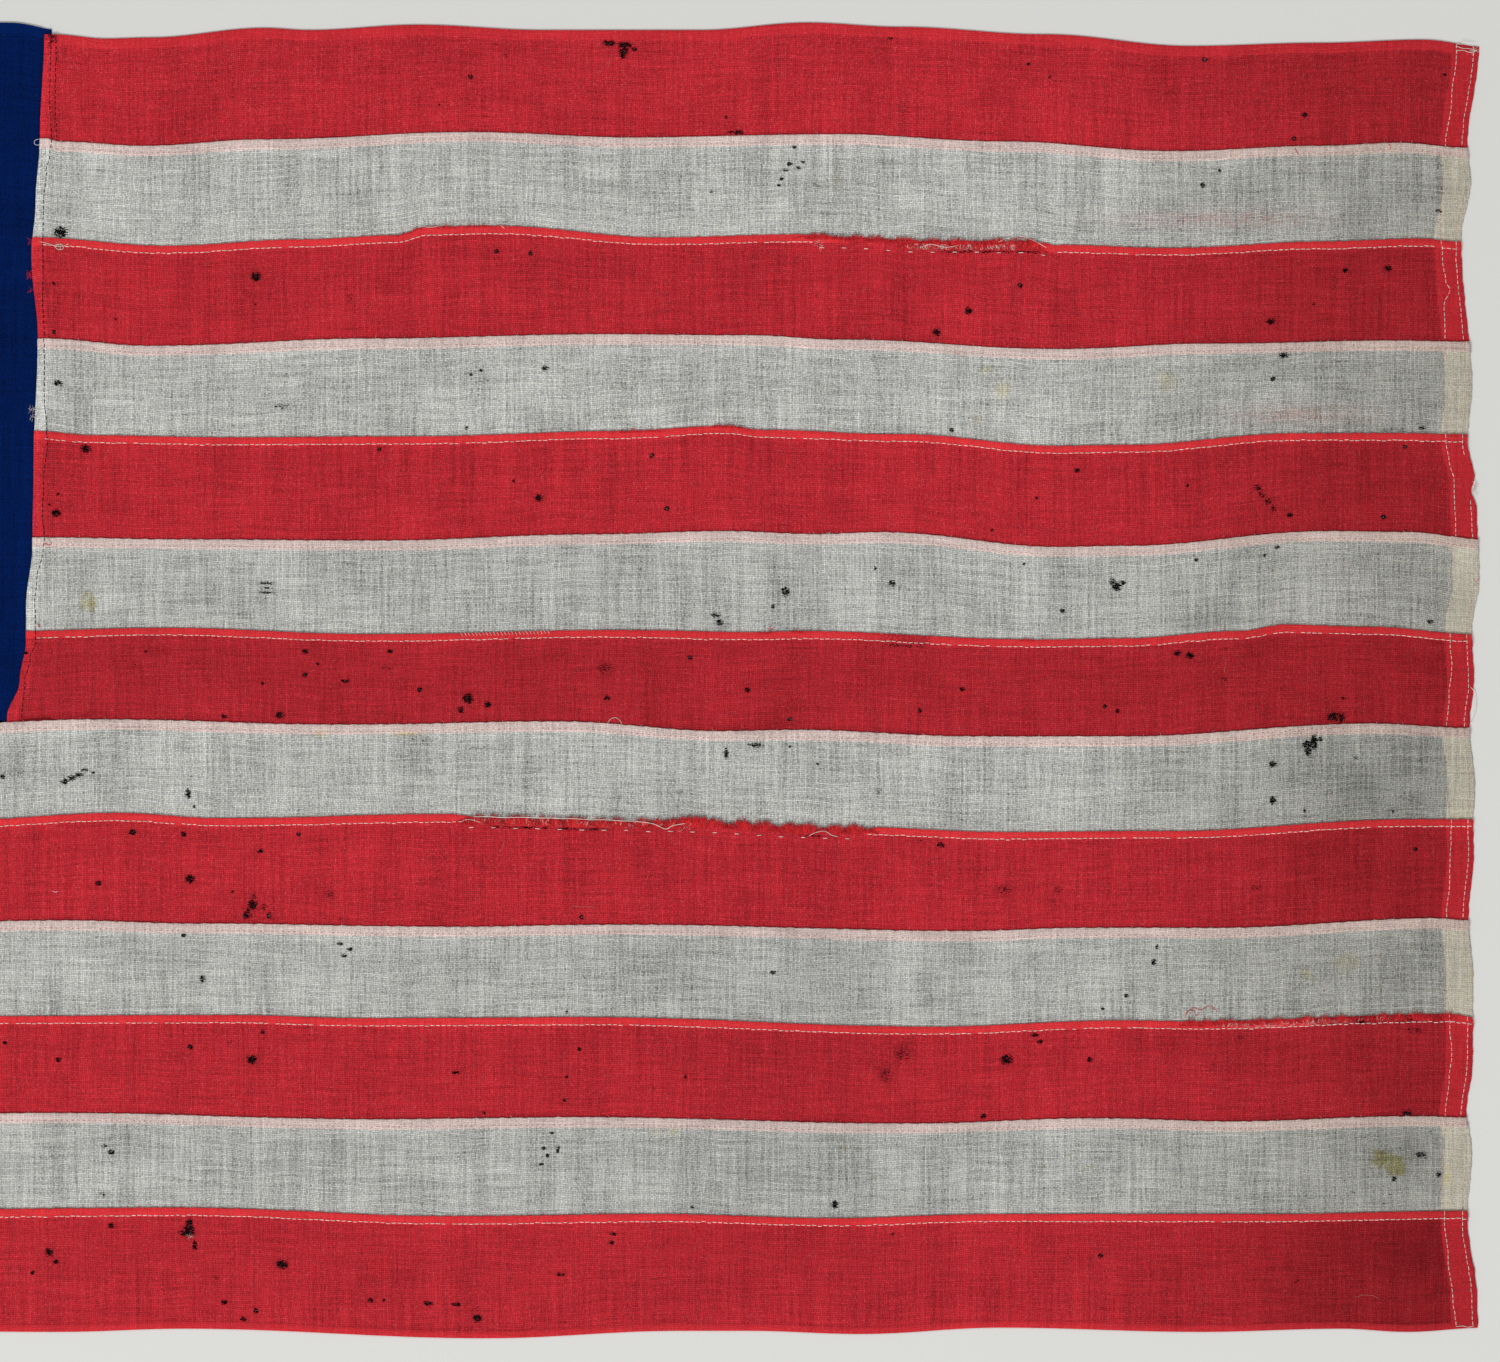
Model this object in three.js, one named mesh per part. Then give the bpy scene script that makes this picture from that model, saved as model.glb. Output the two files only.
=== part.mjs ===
// A worn thirteen-stripe flag of wool bunting, lying flat and face up on a table.
// Millimetres. +X runs from the hoist to the fly, +Y to the flag's top edge, +Z up.
// The table is z = 0. The origin is under the middle of the flag.
//
// How it is put together, as on the real flag:
// - thirteen stripes, each a strip of single bunting; the folded top edge of every
//   stripe is lapped over the bottom edge of the stripe above and sewn down;
// - a plain canton, seven stripes high, whose right edge lies under the folded
//   left ends of the upper seven stripes;
// - a narrow hem on the top and bottom edges and a wide one on the fly;
// - a canvas heading along the hoist, lapped over the ends of canton and stripes.

import * as THREE from "three";

// ---- Driving dimensions -------------------------------------------------------

const CLOTH = 1;                 // thickness of one layer
const HEM = 2;                   // thickness of a hem, which is folded double
const GAP = 0.3;                 // clear space between two pieces that touch
const LAP = 4.4;                 // how far a stripe's fold reaches over its neighbour
const STEP = 1.5;                // run over which a lap comes down to the table
const EDGE_HEM = 4.7;            // width of the hem along the top edge
const BOTTOM_HEM = 3.2;          // width of the hem along the bottom edge
const FLY_HEM = 12.5;            // width of the hem along the fly
const HEM_STEP = 0.8;            // run over which a hem's top comes down
const FOLD_MARGIN = 1;           // where a stripe is cut across, above the next one's fold

const FLY_X = 555;               // mean place of the fly edge
const CANTON_X = -120;           // mean place of the fold where stripes meet canton
const FLAG_END_X = -545;         // ends of canton and stripes inside the heading
const HEADING_OUTER_X = -559;    // hoist edge of the canvas heading
const HEADING_INNER_X = -533;    // where the heading's lip ends on the flag
const CANTON_STRIPES = 7;        // the canton is this many stripes high
const STRIPE_COUNT = 13;

const RED = 0xb42a32;
const WHITE = 0xb4b3ac;
const NAVY = 0x0a1e4a;
const CANVAS = 0xc4b99f;

// ---- Edges and seams ------------------------------------------------------------
// Every line across the flag has a mean height, and a wave: [x, offset] at each
// crest, trough and kink. Line 0 is the top edge, lines 1 to 12 are the folded
// edges of stripes 2 to 13, and line 13 is the bottom edge.

const LINES = [
  { height: 306, wave: [[-116, -2], [-89, -4], [-66, -3.5], [-12, 1], [9, 0], [60, 2.5],
    [119, 0], [193, 0], [243, 3.5], [287, 1.5], [355, -2], [423, -7.5], [484, -6],
    [529, -4.5], [559, -8]] },
  { height: 254, wave: [[-118, 1], [-110, -0.5], [-69, -2.5], [-14, 0.5], [85, 4],
    [160, 1.5], [256, 3], [338, -0.5], [414, -5], [484, -2.5], [522, -1], [555, -3.5]] },
  { height: 207.5, wave: [[-119, 1], [-59, -3], [5, 0], [49, 2], [66, 6], [96, 6.5],
    [174, 1], [243, 2.5], [306, 0], [348, 0], [362, -2.5], [414, -4], [484, -1],
    [536, 0.5], [552, -1]] },
  { height: 160, wave: [[-118, 1], [-66, -2.5], [40, 1], [146, 3], [216, 2.5], [258, 0.5],
    [362, -4], [428, -1.5], [522, 0], [554, -0.5]] },
  { height: 116, wave: [[-120, 1.5], [-92, -0.5], [-33, -1.5], [61, -1], [155, 1.5],
    [205, 4], [222, 2], [287, 0], [362, -5.5], [392, -5], [475, 0.5], [522, 0.5],
    [554, 0]] },
  { height: 68, wave: [[-120, -0.5], [-42, -1.5], [40, -2], [146, 1], [205, 2.5],
    [247, 1], [277, 2], [362, -5], [392, -4.5], [489, 2.5], [522, 2], [558, -1.5]] },
  { height: 23.5, wave: [[-124, 0], [-60, 1.5], [40, -1.5], [155, 0.5], [216, -0.5],
    [240, 0], [350, -4], [392, -3.5], [446, 0], [468, 3], [508, 2], [555, -1.5]] },
  { height: -22, wave: [[-545, 1], [-440, -0.5], [-330, 1.5], [-230, 0.5], [-160, 2],
    [-89, 4], [24, 1.5], [127, 3], [202, -1.5], [240, -1], [320, -4], [392, -4],
    [508, 2], [555, 0]] },
  { height: -66, wave: [[-545, 0], [-450, 1.5], [-340, -0.5], [-240, 1], [-160, 0.5],
    [-80, 4], [-33, 1.5], [75, 3.5], [169, 1.5], [263, -2.5], [334, -5], [414, -4.5],
    [526, 1], [556, 1]] },
  { height: -115, wave: [[-545, 1.5], [-430, 0], [-310, 1.5], [-210, 0.5], [-108, 2.5],
    [-42, 1], [75, -0.5], [155, 0.5], [320, -2.5], [371, -1], [437, -1], [540, 3.5],
    [554, 2.5]] },
  { height: -159, wave: [[-545, 0], [-470, -1], [-350, 1.5], [-250, 0], [-136, 1.5],
    [-33, 2], [40, 0.5], [140, 1], [301, -3.5], [392, -0.5], [423, -1], [545, 2.5],
    [556, 1]] },
  { height: -205.5, wave: [[-545, 1], [-460, 0], [-360, 2], [-240, 0.5], [-108, 2.5],
    [40, -0.5], [136, 0.5], [290, -2.5], [381, 0], [440, -1.5], [531, 1], [554, 0.5]] },
  { height: -250.5, wave: [[-545, 0.5], [-440, 1.5], [-330, 0], [-220, 1.5], [-52, 3],
    [75, -1], [174, 0], [254, -2], [334, 0], [465, 0], [554, 1.5]] },
  { height: -305.5, wave: [[-545, -0.5], [-450, 0.5], [-340, -1], [-240, 0.5],
    [-108, -0.5], [-50, 1], [92, -3.5], [183, 0], [216, 0], [268, -1.5], [334, 1.5],
    [428, -0.5], [494, 1], [522, -0.5], [558, 1.5]] },
];

const CANTON_TOP = { height: 308, wave: [[-545, -1], [-430, 0.5], [-310, -1], [-200, 0.5],
  [-136, 1.5], [-112, -2]] };

// The fly edge and the fold along the canton wander too: [y, offset in x].
const FLY_WAVE = [[300, 4], [251, -1.5], [235, 0], [207, -4.5], [137, 0.5], [113, -1.5],
  [92, 2.5], [47, 4], [23, 0.5], [0, 1.5], [-22, -0.5], [-51, 2], [-68, 1], [-79, 1.5],
  [-111, -1], [-141, 1], [-178, 1], [-204, -2], [-220, 0.5], [-253, -1.5], [-291, 3],
  [-304, 3.5]];
const CANTON_WAVE = [[304, 4.5], [255, 2.5], [225, 0.5], [200, -1.5], [161, 1.5],
  [100, -0.5], [64, -1], [35, -4], [19, -4], [0, -7], [-17, -13]];

// ---- Small helpers ----------------------------------------------------------------

// A smooth curve through the points, level at each of them and held past the ends.
function waveAt(points, place) {
  const ordered = [...points].sort((a, b) => a[0] - b[0]);
  const last = ordered.length - 1;
  if (place <= ordered[0][0]) return ordered[0][1];
  if (place >= ordered[last][0]) return ordered[last][1];
  const next = ordered.findIndex((point) => point[0] > place);
  const [from, to] = [ordered[next - 1], ordered[next]];
  const t = (place - from[0]) / (to[0] - from[0]);
  return from[1] + (to[1] - from[1]) * (1 - Math.cos(Math.PI * t)) / 2;
}

const lineY = (line, x) => line.height + waveAt(line.wave, x);
const flyX = (y) => FLY_X + waveAt(FLY_WAVE, y);
const cantonFoldX = (y) => CANTON_X + waveAt(CANTON_WAVE, y);

// Evenly spaced values strictly between two ends, about `spacing` apart.
function between(start, end, spacing) {
  const parts = Math.round((end - start) / spacing);
  return Array.from({ length: parts - 1 }, (_, i) => start + (end - start) * (i + 1) / parts);
}

// A closed sheet from a grid of points { x, y, low, high }: a box with one segment
// per grid cell, each corner of which is moved to the grid's own place.
// rows run from the top edge to the bottom edge, and columns from the hoist to the fly.
function sheet(name, rows, colour) {
  const columnCount = rows[0].length;
  const geometry = new THREE.BoxGeometry(1, 1, 1, columnCount - 1, rows.length - 1, 1);
  const position = geometry.attributes.position;
  for (let i = 0; i < position.count; i += 1) {
    const column = Math.round((position.getX(i) + 0.5) * (columnCount - 1));
    const row = Math.round((0.5 - position.getY(i)) * (rows.length - 1));
    const point = rows[row][column];
    position.setXYZ(i, point.x, point.y, position.getZ(i) > 0 ? point.high : point.low);
  }
  geometry.computeVertexNormals();
  const material = new THREE.MeshStandardMaterial({ color: colour, roughness: 0.92, metalness: 0 });
  const mesh = new THREE.Mesh(geometry, material);
  mesh.name = name;
  return mesh;
}

// ---- Columns: where a row of a stripe is cut across, from hoist to fly ----------------
// Each column has its x and two marks: `raised` where the stripe, or the stripe under
// its fold, lies on the canton's edge, and `hem` where it is the doubled fly hem.

const OPEN_STATIONS = between(-100, 530, 39);
const HOIST_STATIONS = between(FLAG_END_X, -150, 66);

function flyColumns(y) {
  const edge = flyX(y);
  return [
    { x: edge - FLY_HEM - HEM_STEP, hem: false },
    { x: edge - FLY_HEM, hem: true },
    { x: edge, hem: true },
  ];
}

// Columns of stripes 1 to 7, which start with a fold on the canton.
function shortColumns(y) {
  const fold = cantonFoldX(y);
  return [
    { x: fold, raised: true },
    { x: fold + LAP + GAP, raised: true },
    { x: fold + LAP + GAP + STEP },
    ...OPEN_STATIONS.map((x) => ({ x })),
    ...flyColumns(y),
  ];
}

// Columns of stripes 8 to 13, which run from the heading. `crossesFold` is true on
// the rows of stripe 8 that pass over the lower left corner of stripe 7.
function longColumns(y, crossesFold) {
  const fold = cantonFoldX(lineY(LINES[CANTON_STRIPES], CANTON_X));
  return [
    { x: FLAG_END_X },
    ...HOIST_STATIONS.map((x) => ({ x })),
    { x: fold - GAP - STEP },
    { x: fold - GAP, raised: crossesFold },
    { x: fold + LAP + GAP, raised: crossesFold },
    { x: fold + LAP + GAP + STEP },
    ...OPEN_STATIONS.map((x) => ({ x })),
    ...flyColumns(y),
  ];
}

// ---- Stripes ----------------------------------------------------------------------

// One stripe. Its rows are, from the top: the folded edge, the end of the lap, the
// foot of the lap, two rows in the open cloth, a row just above the next stripe's
// fold, and the bottom edge, which is hidden under that fold or, on the last stripe,
// hemmed.
function stripe(number) {
  const top = LINES[number - 1];
  const bottom = LINES[number];
  const isFirst = number === 1;
  const isLast = number === STRIPE_COUNT;
  const isShort = number <= CANTON_STRIPES;
  const foldRow = isFirst ? EDGE_HEM : LAP + GAP;
  const footRow = foldRow + (isFirst ? HEM_STEP : STEP);
  const openHeight = top.height - bottom.height;

  // A row lies `down` below the top line, or `up` above the bottom line. The rows of
  // a seam share one set of columns, so that both stripes bend at the same places.
  const rowSpecs = [
    { down: 0, seam: top, lapped: true },
    { down: foldRow, seam: top, lapped: true },
    { down: footRow, seam: top },
    { share: 1 / 3 },
    { share: 2 / 3 },
  ];
  if (isLast) {
    rowSpecs.push({ up: BOTTOM_HEM + HEM_STEP, seam: bottom });
    rowSpecs.push({ up: BOTTOM_HEM, seam: bottom, hemmed: true });
    rowSpecs.push({ up: 0, seam: bottom, hemmed: true });
  } else {
    rowSpecs.push({ up: FOLD_MARGIN, seam: bottom });
    rowSpecs.push({ up: -LAP, seam: bottom });
  }

  const rows = rowSpecs.map((row) => {
    const level = row.seam ? row.seam.height : top.height - openHeight * row.share;
    const crossesFold = number === CANTON_STRIPES + 1 && Boolean(row.lapped);
    const columns = isShort ? shortColumns(level) : longColumns(level, crossesFold);
    return columns.map((column) => {
      const topY = lineY(top, column.x);
      const bottomY = lineY(bottom, column.x);
      let y = topY + (bottomY - topY) * (row.share ?? 0);
      if (row.down !== undefined) y = topY - row.down;
      if (row.up !== undefined) y = bottomY + row.up;
      const base = column.raised ? CLOTH + GAP : 0;
      const thickness = column.hem ? HEM : CLOTH;
      if (row.lapped && !isFirst) {
        const low = base + thickness + GAP;
        return { x: column.x, y, low, high: low + CLOTH };
      }
      const doubled = column.hem || row.hemmed || (row.lapped && isFirst);
      return { x: column.x, y, low: base, high: base + (doubled ? HEM : CLOTH) };
    });
  });

  const name = `stripe_${String(number).padStart(2, "0")}`;
  return sheet(name, rows, number % 2 ? RED : WHITE);
}

// ---- Canton -----------------------------------------------------------------------

// Its right edge lies under the folded ends of the stripes, and its bottom edge
// under the fold of stripe 8. It has the top edge's hem, up to the first stripe.
function canton() {
  const bottom = LINES[CANTON_STRIPES];
  const underFold = 1;           // how far short of the stripes' lap its edge stops
  const openRows = [0.12, 0.24, 0.36, 0.48, 0.6, 0.7, 0.8, 0.88, 0.95];
  const rowSpecs = [
    { down: 0, hemmed: true },
    { down: EDGE_HEM, hemmed: true },
    { down: EDGE_HEM + HEM_STEP },
    ...openRows.map((share) => ({ share })),
    { share: 1 },
  ];
  const height = CANTON_TOP.height - bottom.height;
  const rows = rowSpecs.map((row) => {
    const level = CANTON_TOP.height - (row.share === undefined ? row.down : height * row.share);
    const fold = cantonFoldX(level);
    const columns = [FLAG_END_X, ...HOIST_STATIONS, fold - STEP, fold - GAP, fold + LAP - underFold];
    return columns.map((x, index) => {
      const underStripes = index >= columns.length - 2;
      const topY = lineY(CANTON_TOP, x);
      const bottomY = lineY(bottom, x) - LAP;
      const y = row.share === undefined ? topY - row.down : topY + (bottomY - topY) * row.share;
      return { x, y, low: 0, high: row.hemmed && !underStripes ? HEM : CLOTH };
    });
  });
  return sheet("canton", rows, NAVY);
}

// ---- Heading ----------------------------------------------------------------------

// A strip of doubled canvas. Its outer part stands on the table beside the flag, and
// its lip lies on the flag, rising over the hems and over the lap of each seam.
function heading() {
  const flagTop = lineY(CANTON_TOP, FLAG_END_X);
  const flagBottom = lineY(LINES[STRIPE_COUNT], FLAG_END_X);
  const endMargin = 1;           // canvas past the flag's top and bottom edges
  const overCloth = CLOTH + GAP;
  const overHem = HEM + GAP;
  const overLap = CLOTH + GAP + CLOTH + GAP;

  const profile = [
    [flagTop + endMargin, overHem],
    [flagTop - EDGE_HEM - GAP, overHem],
    [flagTop - EDGE_HEM - GAP - STEP, overCloth],
  ];
  for (let number = CANTON_STRIPES; number < STRIPE_COUNT; number += 1) {
    const seam = lineY(LINES[number], FLAG_END_X);
    profile.push([seam + GAP + 2 * STEP, overCloth]);
    profile.push([seam + 2 * GAP, overLap]);
    profile.push([seam - LAP - 2 * GAP, overLap]);
    profile.push([seam - LAP - 2 * GAP - 2 * STEP, overCloth]);
  }
  profile.push([flagBottom + BOTTOM_HEM + GAP + STEP, overCloth]);
  profile.push([flagBottom + BOTTOM_HEM + GAP, overHem]);
  profile.push([flagBottom - endMargin, overHem]);

  const rows = profile.map(([y, under]) => [
    { x: HEADING_OUTER_X, y, low: 0, high: under + CLOTH },
    { x: FLAG_END_X - 2 * GAP, y, low: 0, high: under + CLOTH },
    { x: FLAG_END_X - GAP, y, low: under, high: under + CLOTH },
    { x: HEADING_INNER_X, y, low: under, high: under + CLOTH },
  ]);
  return sheet("heading", rows, CANVAS);
}

// ---- The flag ---------------------------------------------------------------------

const flag = new THREE.Group();
for (let number = 1; number <= STRIPE_COUNT; number += 1) {
  flag.add(stripe(number));
}
flag.add(canton());
flag.add(heading());

export default flag;
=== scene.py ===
"""A worn thirteen-stripe flag of wool bunting, laid flat on a pale table and seen
from straight above, with the camera over the fly part of the flag.

Every stripe, the canton and the heading is one closed sheet of cloth, and each stripe has real
moth holes. Stitches, frays and loose threads are thin meshes of their own. Numbers are in
millimetres, in the CAD model's frame, and become metres where a mesh is made.
"""
import math
from collections import namedtuple

import bpy
import numpy as np
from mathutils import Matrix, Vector
from mathutils.geometry import delaunay_2d_cdt


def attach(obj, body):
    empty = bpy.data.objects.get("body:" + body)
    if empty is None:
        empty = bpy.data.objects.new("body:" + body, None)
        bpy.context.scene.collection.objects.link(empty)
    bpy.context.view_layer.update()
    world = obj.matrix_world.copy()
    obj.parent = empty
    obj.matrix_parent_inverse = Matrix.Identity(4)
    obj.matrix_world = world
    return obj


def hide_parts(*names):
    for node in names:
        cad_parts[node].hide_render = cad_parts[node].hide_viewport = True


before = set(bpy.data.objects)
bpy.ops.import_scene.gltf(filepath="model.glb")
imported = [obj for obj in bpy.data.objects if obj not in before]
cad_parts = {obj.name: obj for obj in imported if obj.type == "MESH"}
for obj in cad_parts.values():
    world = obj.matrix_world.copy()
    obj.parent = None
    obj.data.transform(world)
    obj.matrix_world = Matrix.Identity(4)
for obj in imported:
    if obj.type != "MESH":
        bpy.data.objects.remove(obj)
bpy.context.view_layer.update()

MM = 0.001
TAU = 2 * math.pi

# ---- The flag's own sizes, in mm, the same as in the CAD model ----------------------

STRIPES = 13
CANTON_STRIPES = 7
LAP = 4.4                 # a stripe's fold reaches this far over the stripe above
FLY_HEM = 12.5
EDGE_HEM = 4.7            # hem along the top edge
BOTTOM_HEM = 3.2          # hem along the bottom edge
FLY_X = 555.0             # mean place of the fly edge
CANTON_X = -120.0         # mean place of the fold between stripes and canton
FLAG_END_X = -545.0       # where canton and stripes end inside the heading
HEADING_X = (-559.0, -533.0)
HEADING_THICK = 0.9

# Line 0 is the top edge, 1 to 12 are the folded edges of stripes 2 to 13, and 13 is
# the bottom edge: (mean height, [(x, offset) at each crest, trough and kink]).
LINES = [
    (306, [(-116, -2), (-89, -4), (-66, -3.5), (-12, 1), (9, 0), (60, 2.5), (119, 0),
           (193, 0), (243, 3.5), (287, 1.5), (355, -2), (423, -7.5), (484, -6),
           (529, -4.5), (559, -8)]),
    (254, [(-118, 1), (-110, -0.5), (-69, -2.5), (-14, 0.5), (85, 4), (160, 1.5),
           (256, 3), (338, -0.5), (414, -5), (484, -2.5), (522, -1), (555, -3.5)]),
    (207.5, [(-119, 1), (-59, -3), (5, 0), (49, 2), (66, 6), (96, 6.5), (174, 1),
             (243, 2.5), (306, 0), (348, 0), (362, -2.5), (414, -4), (484, -1),
             (536, 0.5), (552, -1)]),
    (160, [(-118, 1), (-66, -2.5), (40, 1), (146, 3), (216, 2.5), (258, 0.5),
           (362, -4), (428, -1.5), (522, 0), (554, -0.5)]),
    (116, [(-120, 1.5), (-92, -0.5), (-33, -1.5), (61, -1), (155, 1.5), (205, 4),
           (222, 2), (287, 0), (362, -5.5), (392, -5), (475, 0.5), (522, 0.5),
           (554, 0)]),
    (68, [(-120, -0.5), (-42, -1.5), (40, -2), (146, 1), (205, 2.5), (247, 1),
          (277, 2), (362, -5), (392, -4.5), (489, 2.5), (522, 2), (558, -1.5)]),
    (23.5, [(-124, 0), (-60, 1.5), (40, -1.5), (155, 0.5), (216, -0.5), (240, 0),
            (350, -4), (392, -3.5), (446, 0), (468, 3), (508, 2), (555, -1.5)]),
    (-22, [(-545, 1), (-440, -0.5), (-330, 1.5), (-230, 0.5), (-160, 2), (-89, 4),
           (24, 1.5), (127, 3), (202, -1.5), (240, -1), (320, -4), (392, -4),
           (508, 2), (555, 0)]),
    (-66, [(-545, 0), (-450, 1.5), (-340, -0.5), (-240, 1), (-160, 0.5), (-80, 4),
           (-33, 1.5), (75, 3.5), (169, 1.5), (263, -2.5), (334, -5), (414, -4.5),
           (526, 1), (556, 1)]),
    (-115, [(-545, 1.5), (-430, 0), (-310, 1.5), (-210, 0.5), (-108, 2.5), (-42, 1),
            (75, -0.5), (155, 0.5), (320, -2.5), (371, -1), (437, -1), (540, 3.5),
            (554, 2.5)]),
    (-159, [(-545, 0), (-470, -1), (-350, 1.5), (-250, 0), (-136, 1.5), (-33, 2),
            (40, 0.5), (140, 1), (301, -3.5), (392, -0.5), (423, -1), (545, 2.5),
            (556, 1)]),
    (-205.5, [(-545, 1), (-460, 0), (-360, 2), (-240, 0.5), (-108, 2.5), (40, -0.5),
              (136, 0.5), (290, -2.5), (381, 0), (440, -1.5), (531, 1), (554, 0.5)]),
    (-250.5, [(-545, 0.5), (-440, 1.5), (-330, 0), (-220, 1.5), (-52, 3), (75, -1),
              (174, 0), (254, -2), (334, 0), (465, 0), (554, 1.5)]),
    (-305.5, [(-545, -0.5), (-450, 0.5), (-340, -1), (-240, 0.5), (-108, -0.5),
              (-50, 1), (92, -3.5), (183, 0), (216, 0), (268, -1.5), (334, 1.5),
              (428, -0.5), (494, 1), (522, -0.5), (558, 1.5)]),
]
CANTON_TOP = (308, [(-545, -1), (-430, 0.5), (-310, -1), (-200, 0.5), (-136, 1.5), (-112, -2)])
FLY_WAVE = [(-304, 3.5), (-291, 3), (-253, -1.5), (-220, 0.5), (-204, -2), (-178, 1),
            (-141, 1), (-111, -1), (-79, 1.5), (-68, 1), (-51, 2), (-22, -0.5), (0, 1.5),
            (23, 0.5), (47, 4), (92, 2.5), (113, -1.5), (137, 0.5), (207, -4.5), (235, 0),
            (251, -1.5), (300, 4)]
CANTON_WAVE = [(-17, -13), (0, -7), (19, -4), (35, -4), (64, -1), (100, -0.5), (161, 1.5),
               (200, -1.5), (225, 0.5), (255, 2.5), (304, 4.5)]

# ---- Thicknesses and heights above the table ----------------------------------------

TABLE_GAP = 0.06          # the lowest cloth's clearance
SHEET = 0.42              # one layer of bunting
DOUBLE = 0.7              # a fold or hem
REST = 0.08               # clearance between two layers that lie on each other
LOFT = 0.95               # how far open cloth stands off the table between seams
LOFT_END = (500, 541)     # where that fades out before the fly hem
FLY_PULL = 470            # how far in the fly edge's waves are felt
FOLD = 4.6                # width of the raised fold
RED_BAND = 3.8            # how far down a red fold's bright colour goes, to its stitches
COLUMN = 2.6              # spacing of the sheets' points
THREADS_LEFT = 0.95       # spacing of the worn threads left across a wide hole
SMALL_HOLE = 2.2          # a hole smaller than this is a single opening
WIDE_HOLE = 3             # a hole at least this wide has a soft ring of painted shade around it
THIN_SHADE = 0.58         # how dark the painted shade in a thin spot is
FIRST_GRIMY = 6           # the first stripe with grime
PUCKER = 0.16             # how far the stitches' gathers lift the cloth
CUT_SEED = 40             # random seeds: a stripe's number is added to them
THREAD_SEED = 400
CANTON_THREAD_SEED = 77
HEADING_THREAD_SEED = 78
OVERCAST_SEED = 91
PINK_ROW_SEED = 92
WEAVE_SEED = 17.0         # times a stripe's number, so that no two weaves are alike
HEADING_SEED = 300.0
EDGE_ROUND = 0.9          # how far in an edge's rounding reaches
FLY_END = FLY_X - FLY_HEM # where the fly hem begins


# ---- Small helpers ------------------------------------------------------------------

def wave(points, place):
    """A smooth curve through the points, level at each and held past the ends."""
    xs = np.array([p[0] for p in points], float)
    ds = np.array([p[1] for p in points], float)
    k = np.clip(np.searchsorted(xs, place, side="right") - 1, 0, len(xs) - 2)
    t = np.clip((place - xs[k]) / (xs[k + 1] - xs[k]), 0, 1)
    return ds[k] + (ds[k + 1] - ds[k]) * (1 - np.cos(np.pi * t)) / 2


def line_y(line, x):
    """The height of a seam or edge at x."""
    return line[0] + wave(line[1], x)


def smooth(value, start, end):
    """0 before start, 1 after end, and an even ease between them."""
    t = np.clip((value - start) / (end - start), 0, 1)
    return t * t * (3 - 2 * t)


def fade(value, start, end):
    """1 before start, 0 after end, and an even ease between them."""
    return 1 - smooth(value, start, end)


def between(value, start, end, ease):
    """1 from start to end, eased over a length inside both, and 0 outside them."""
    return smooth(value, start, start + ease) * fade(value, end - ease, end)


def ripple(t, seed=0.0):
    """An uneven wave between about -1 and 1, with a main period of 2 pi."""
    return (np.sin(t + seed) + 0.7 * np.sin(2.31 * t + 1.7 * seed + 1)
            + 0.6 * np.sin(0.47 * t + 2.9 * seed) + 0.4 * np.sin(4.9 * t + seed)) / 2.2


def blot(x, y, spots):
    """The strongest of several soft spots (x, y, width, height, share) at each point."""
    total = np.zeros_like(x)
    for cx, cy, width, height, *share in spots:
        near = np.exp(-1.4 * (((x - cx) / (width / 2)) ** 2 + ((y - cy) / (height / 2)) ** 2))
        total = np.maximum(total, near * (share[0] if share else 1))
    return total


# ---- Damage: moth holes, thin spots and stains --------------------------------------

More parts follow.
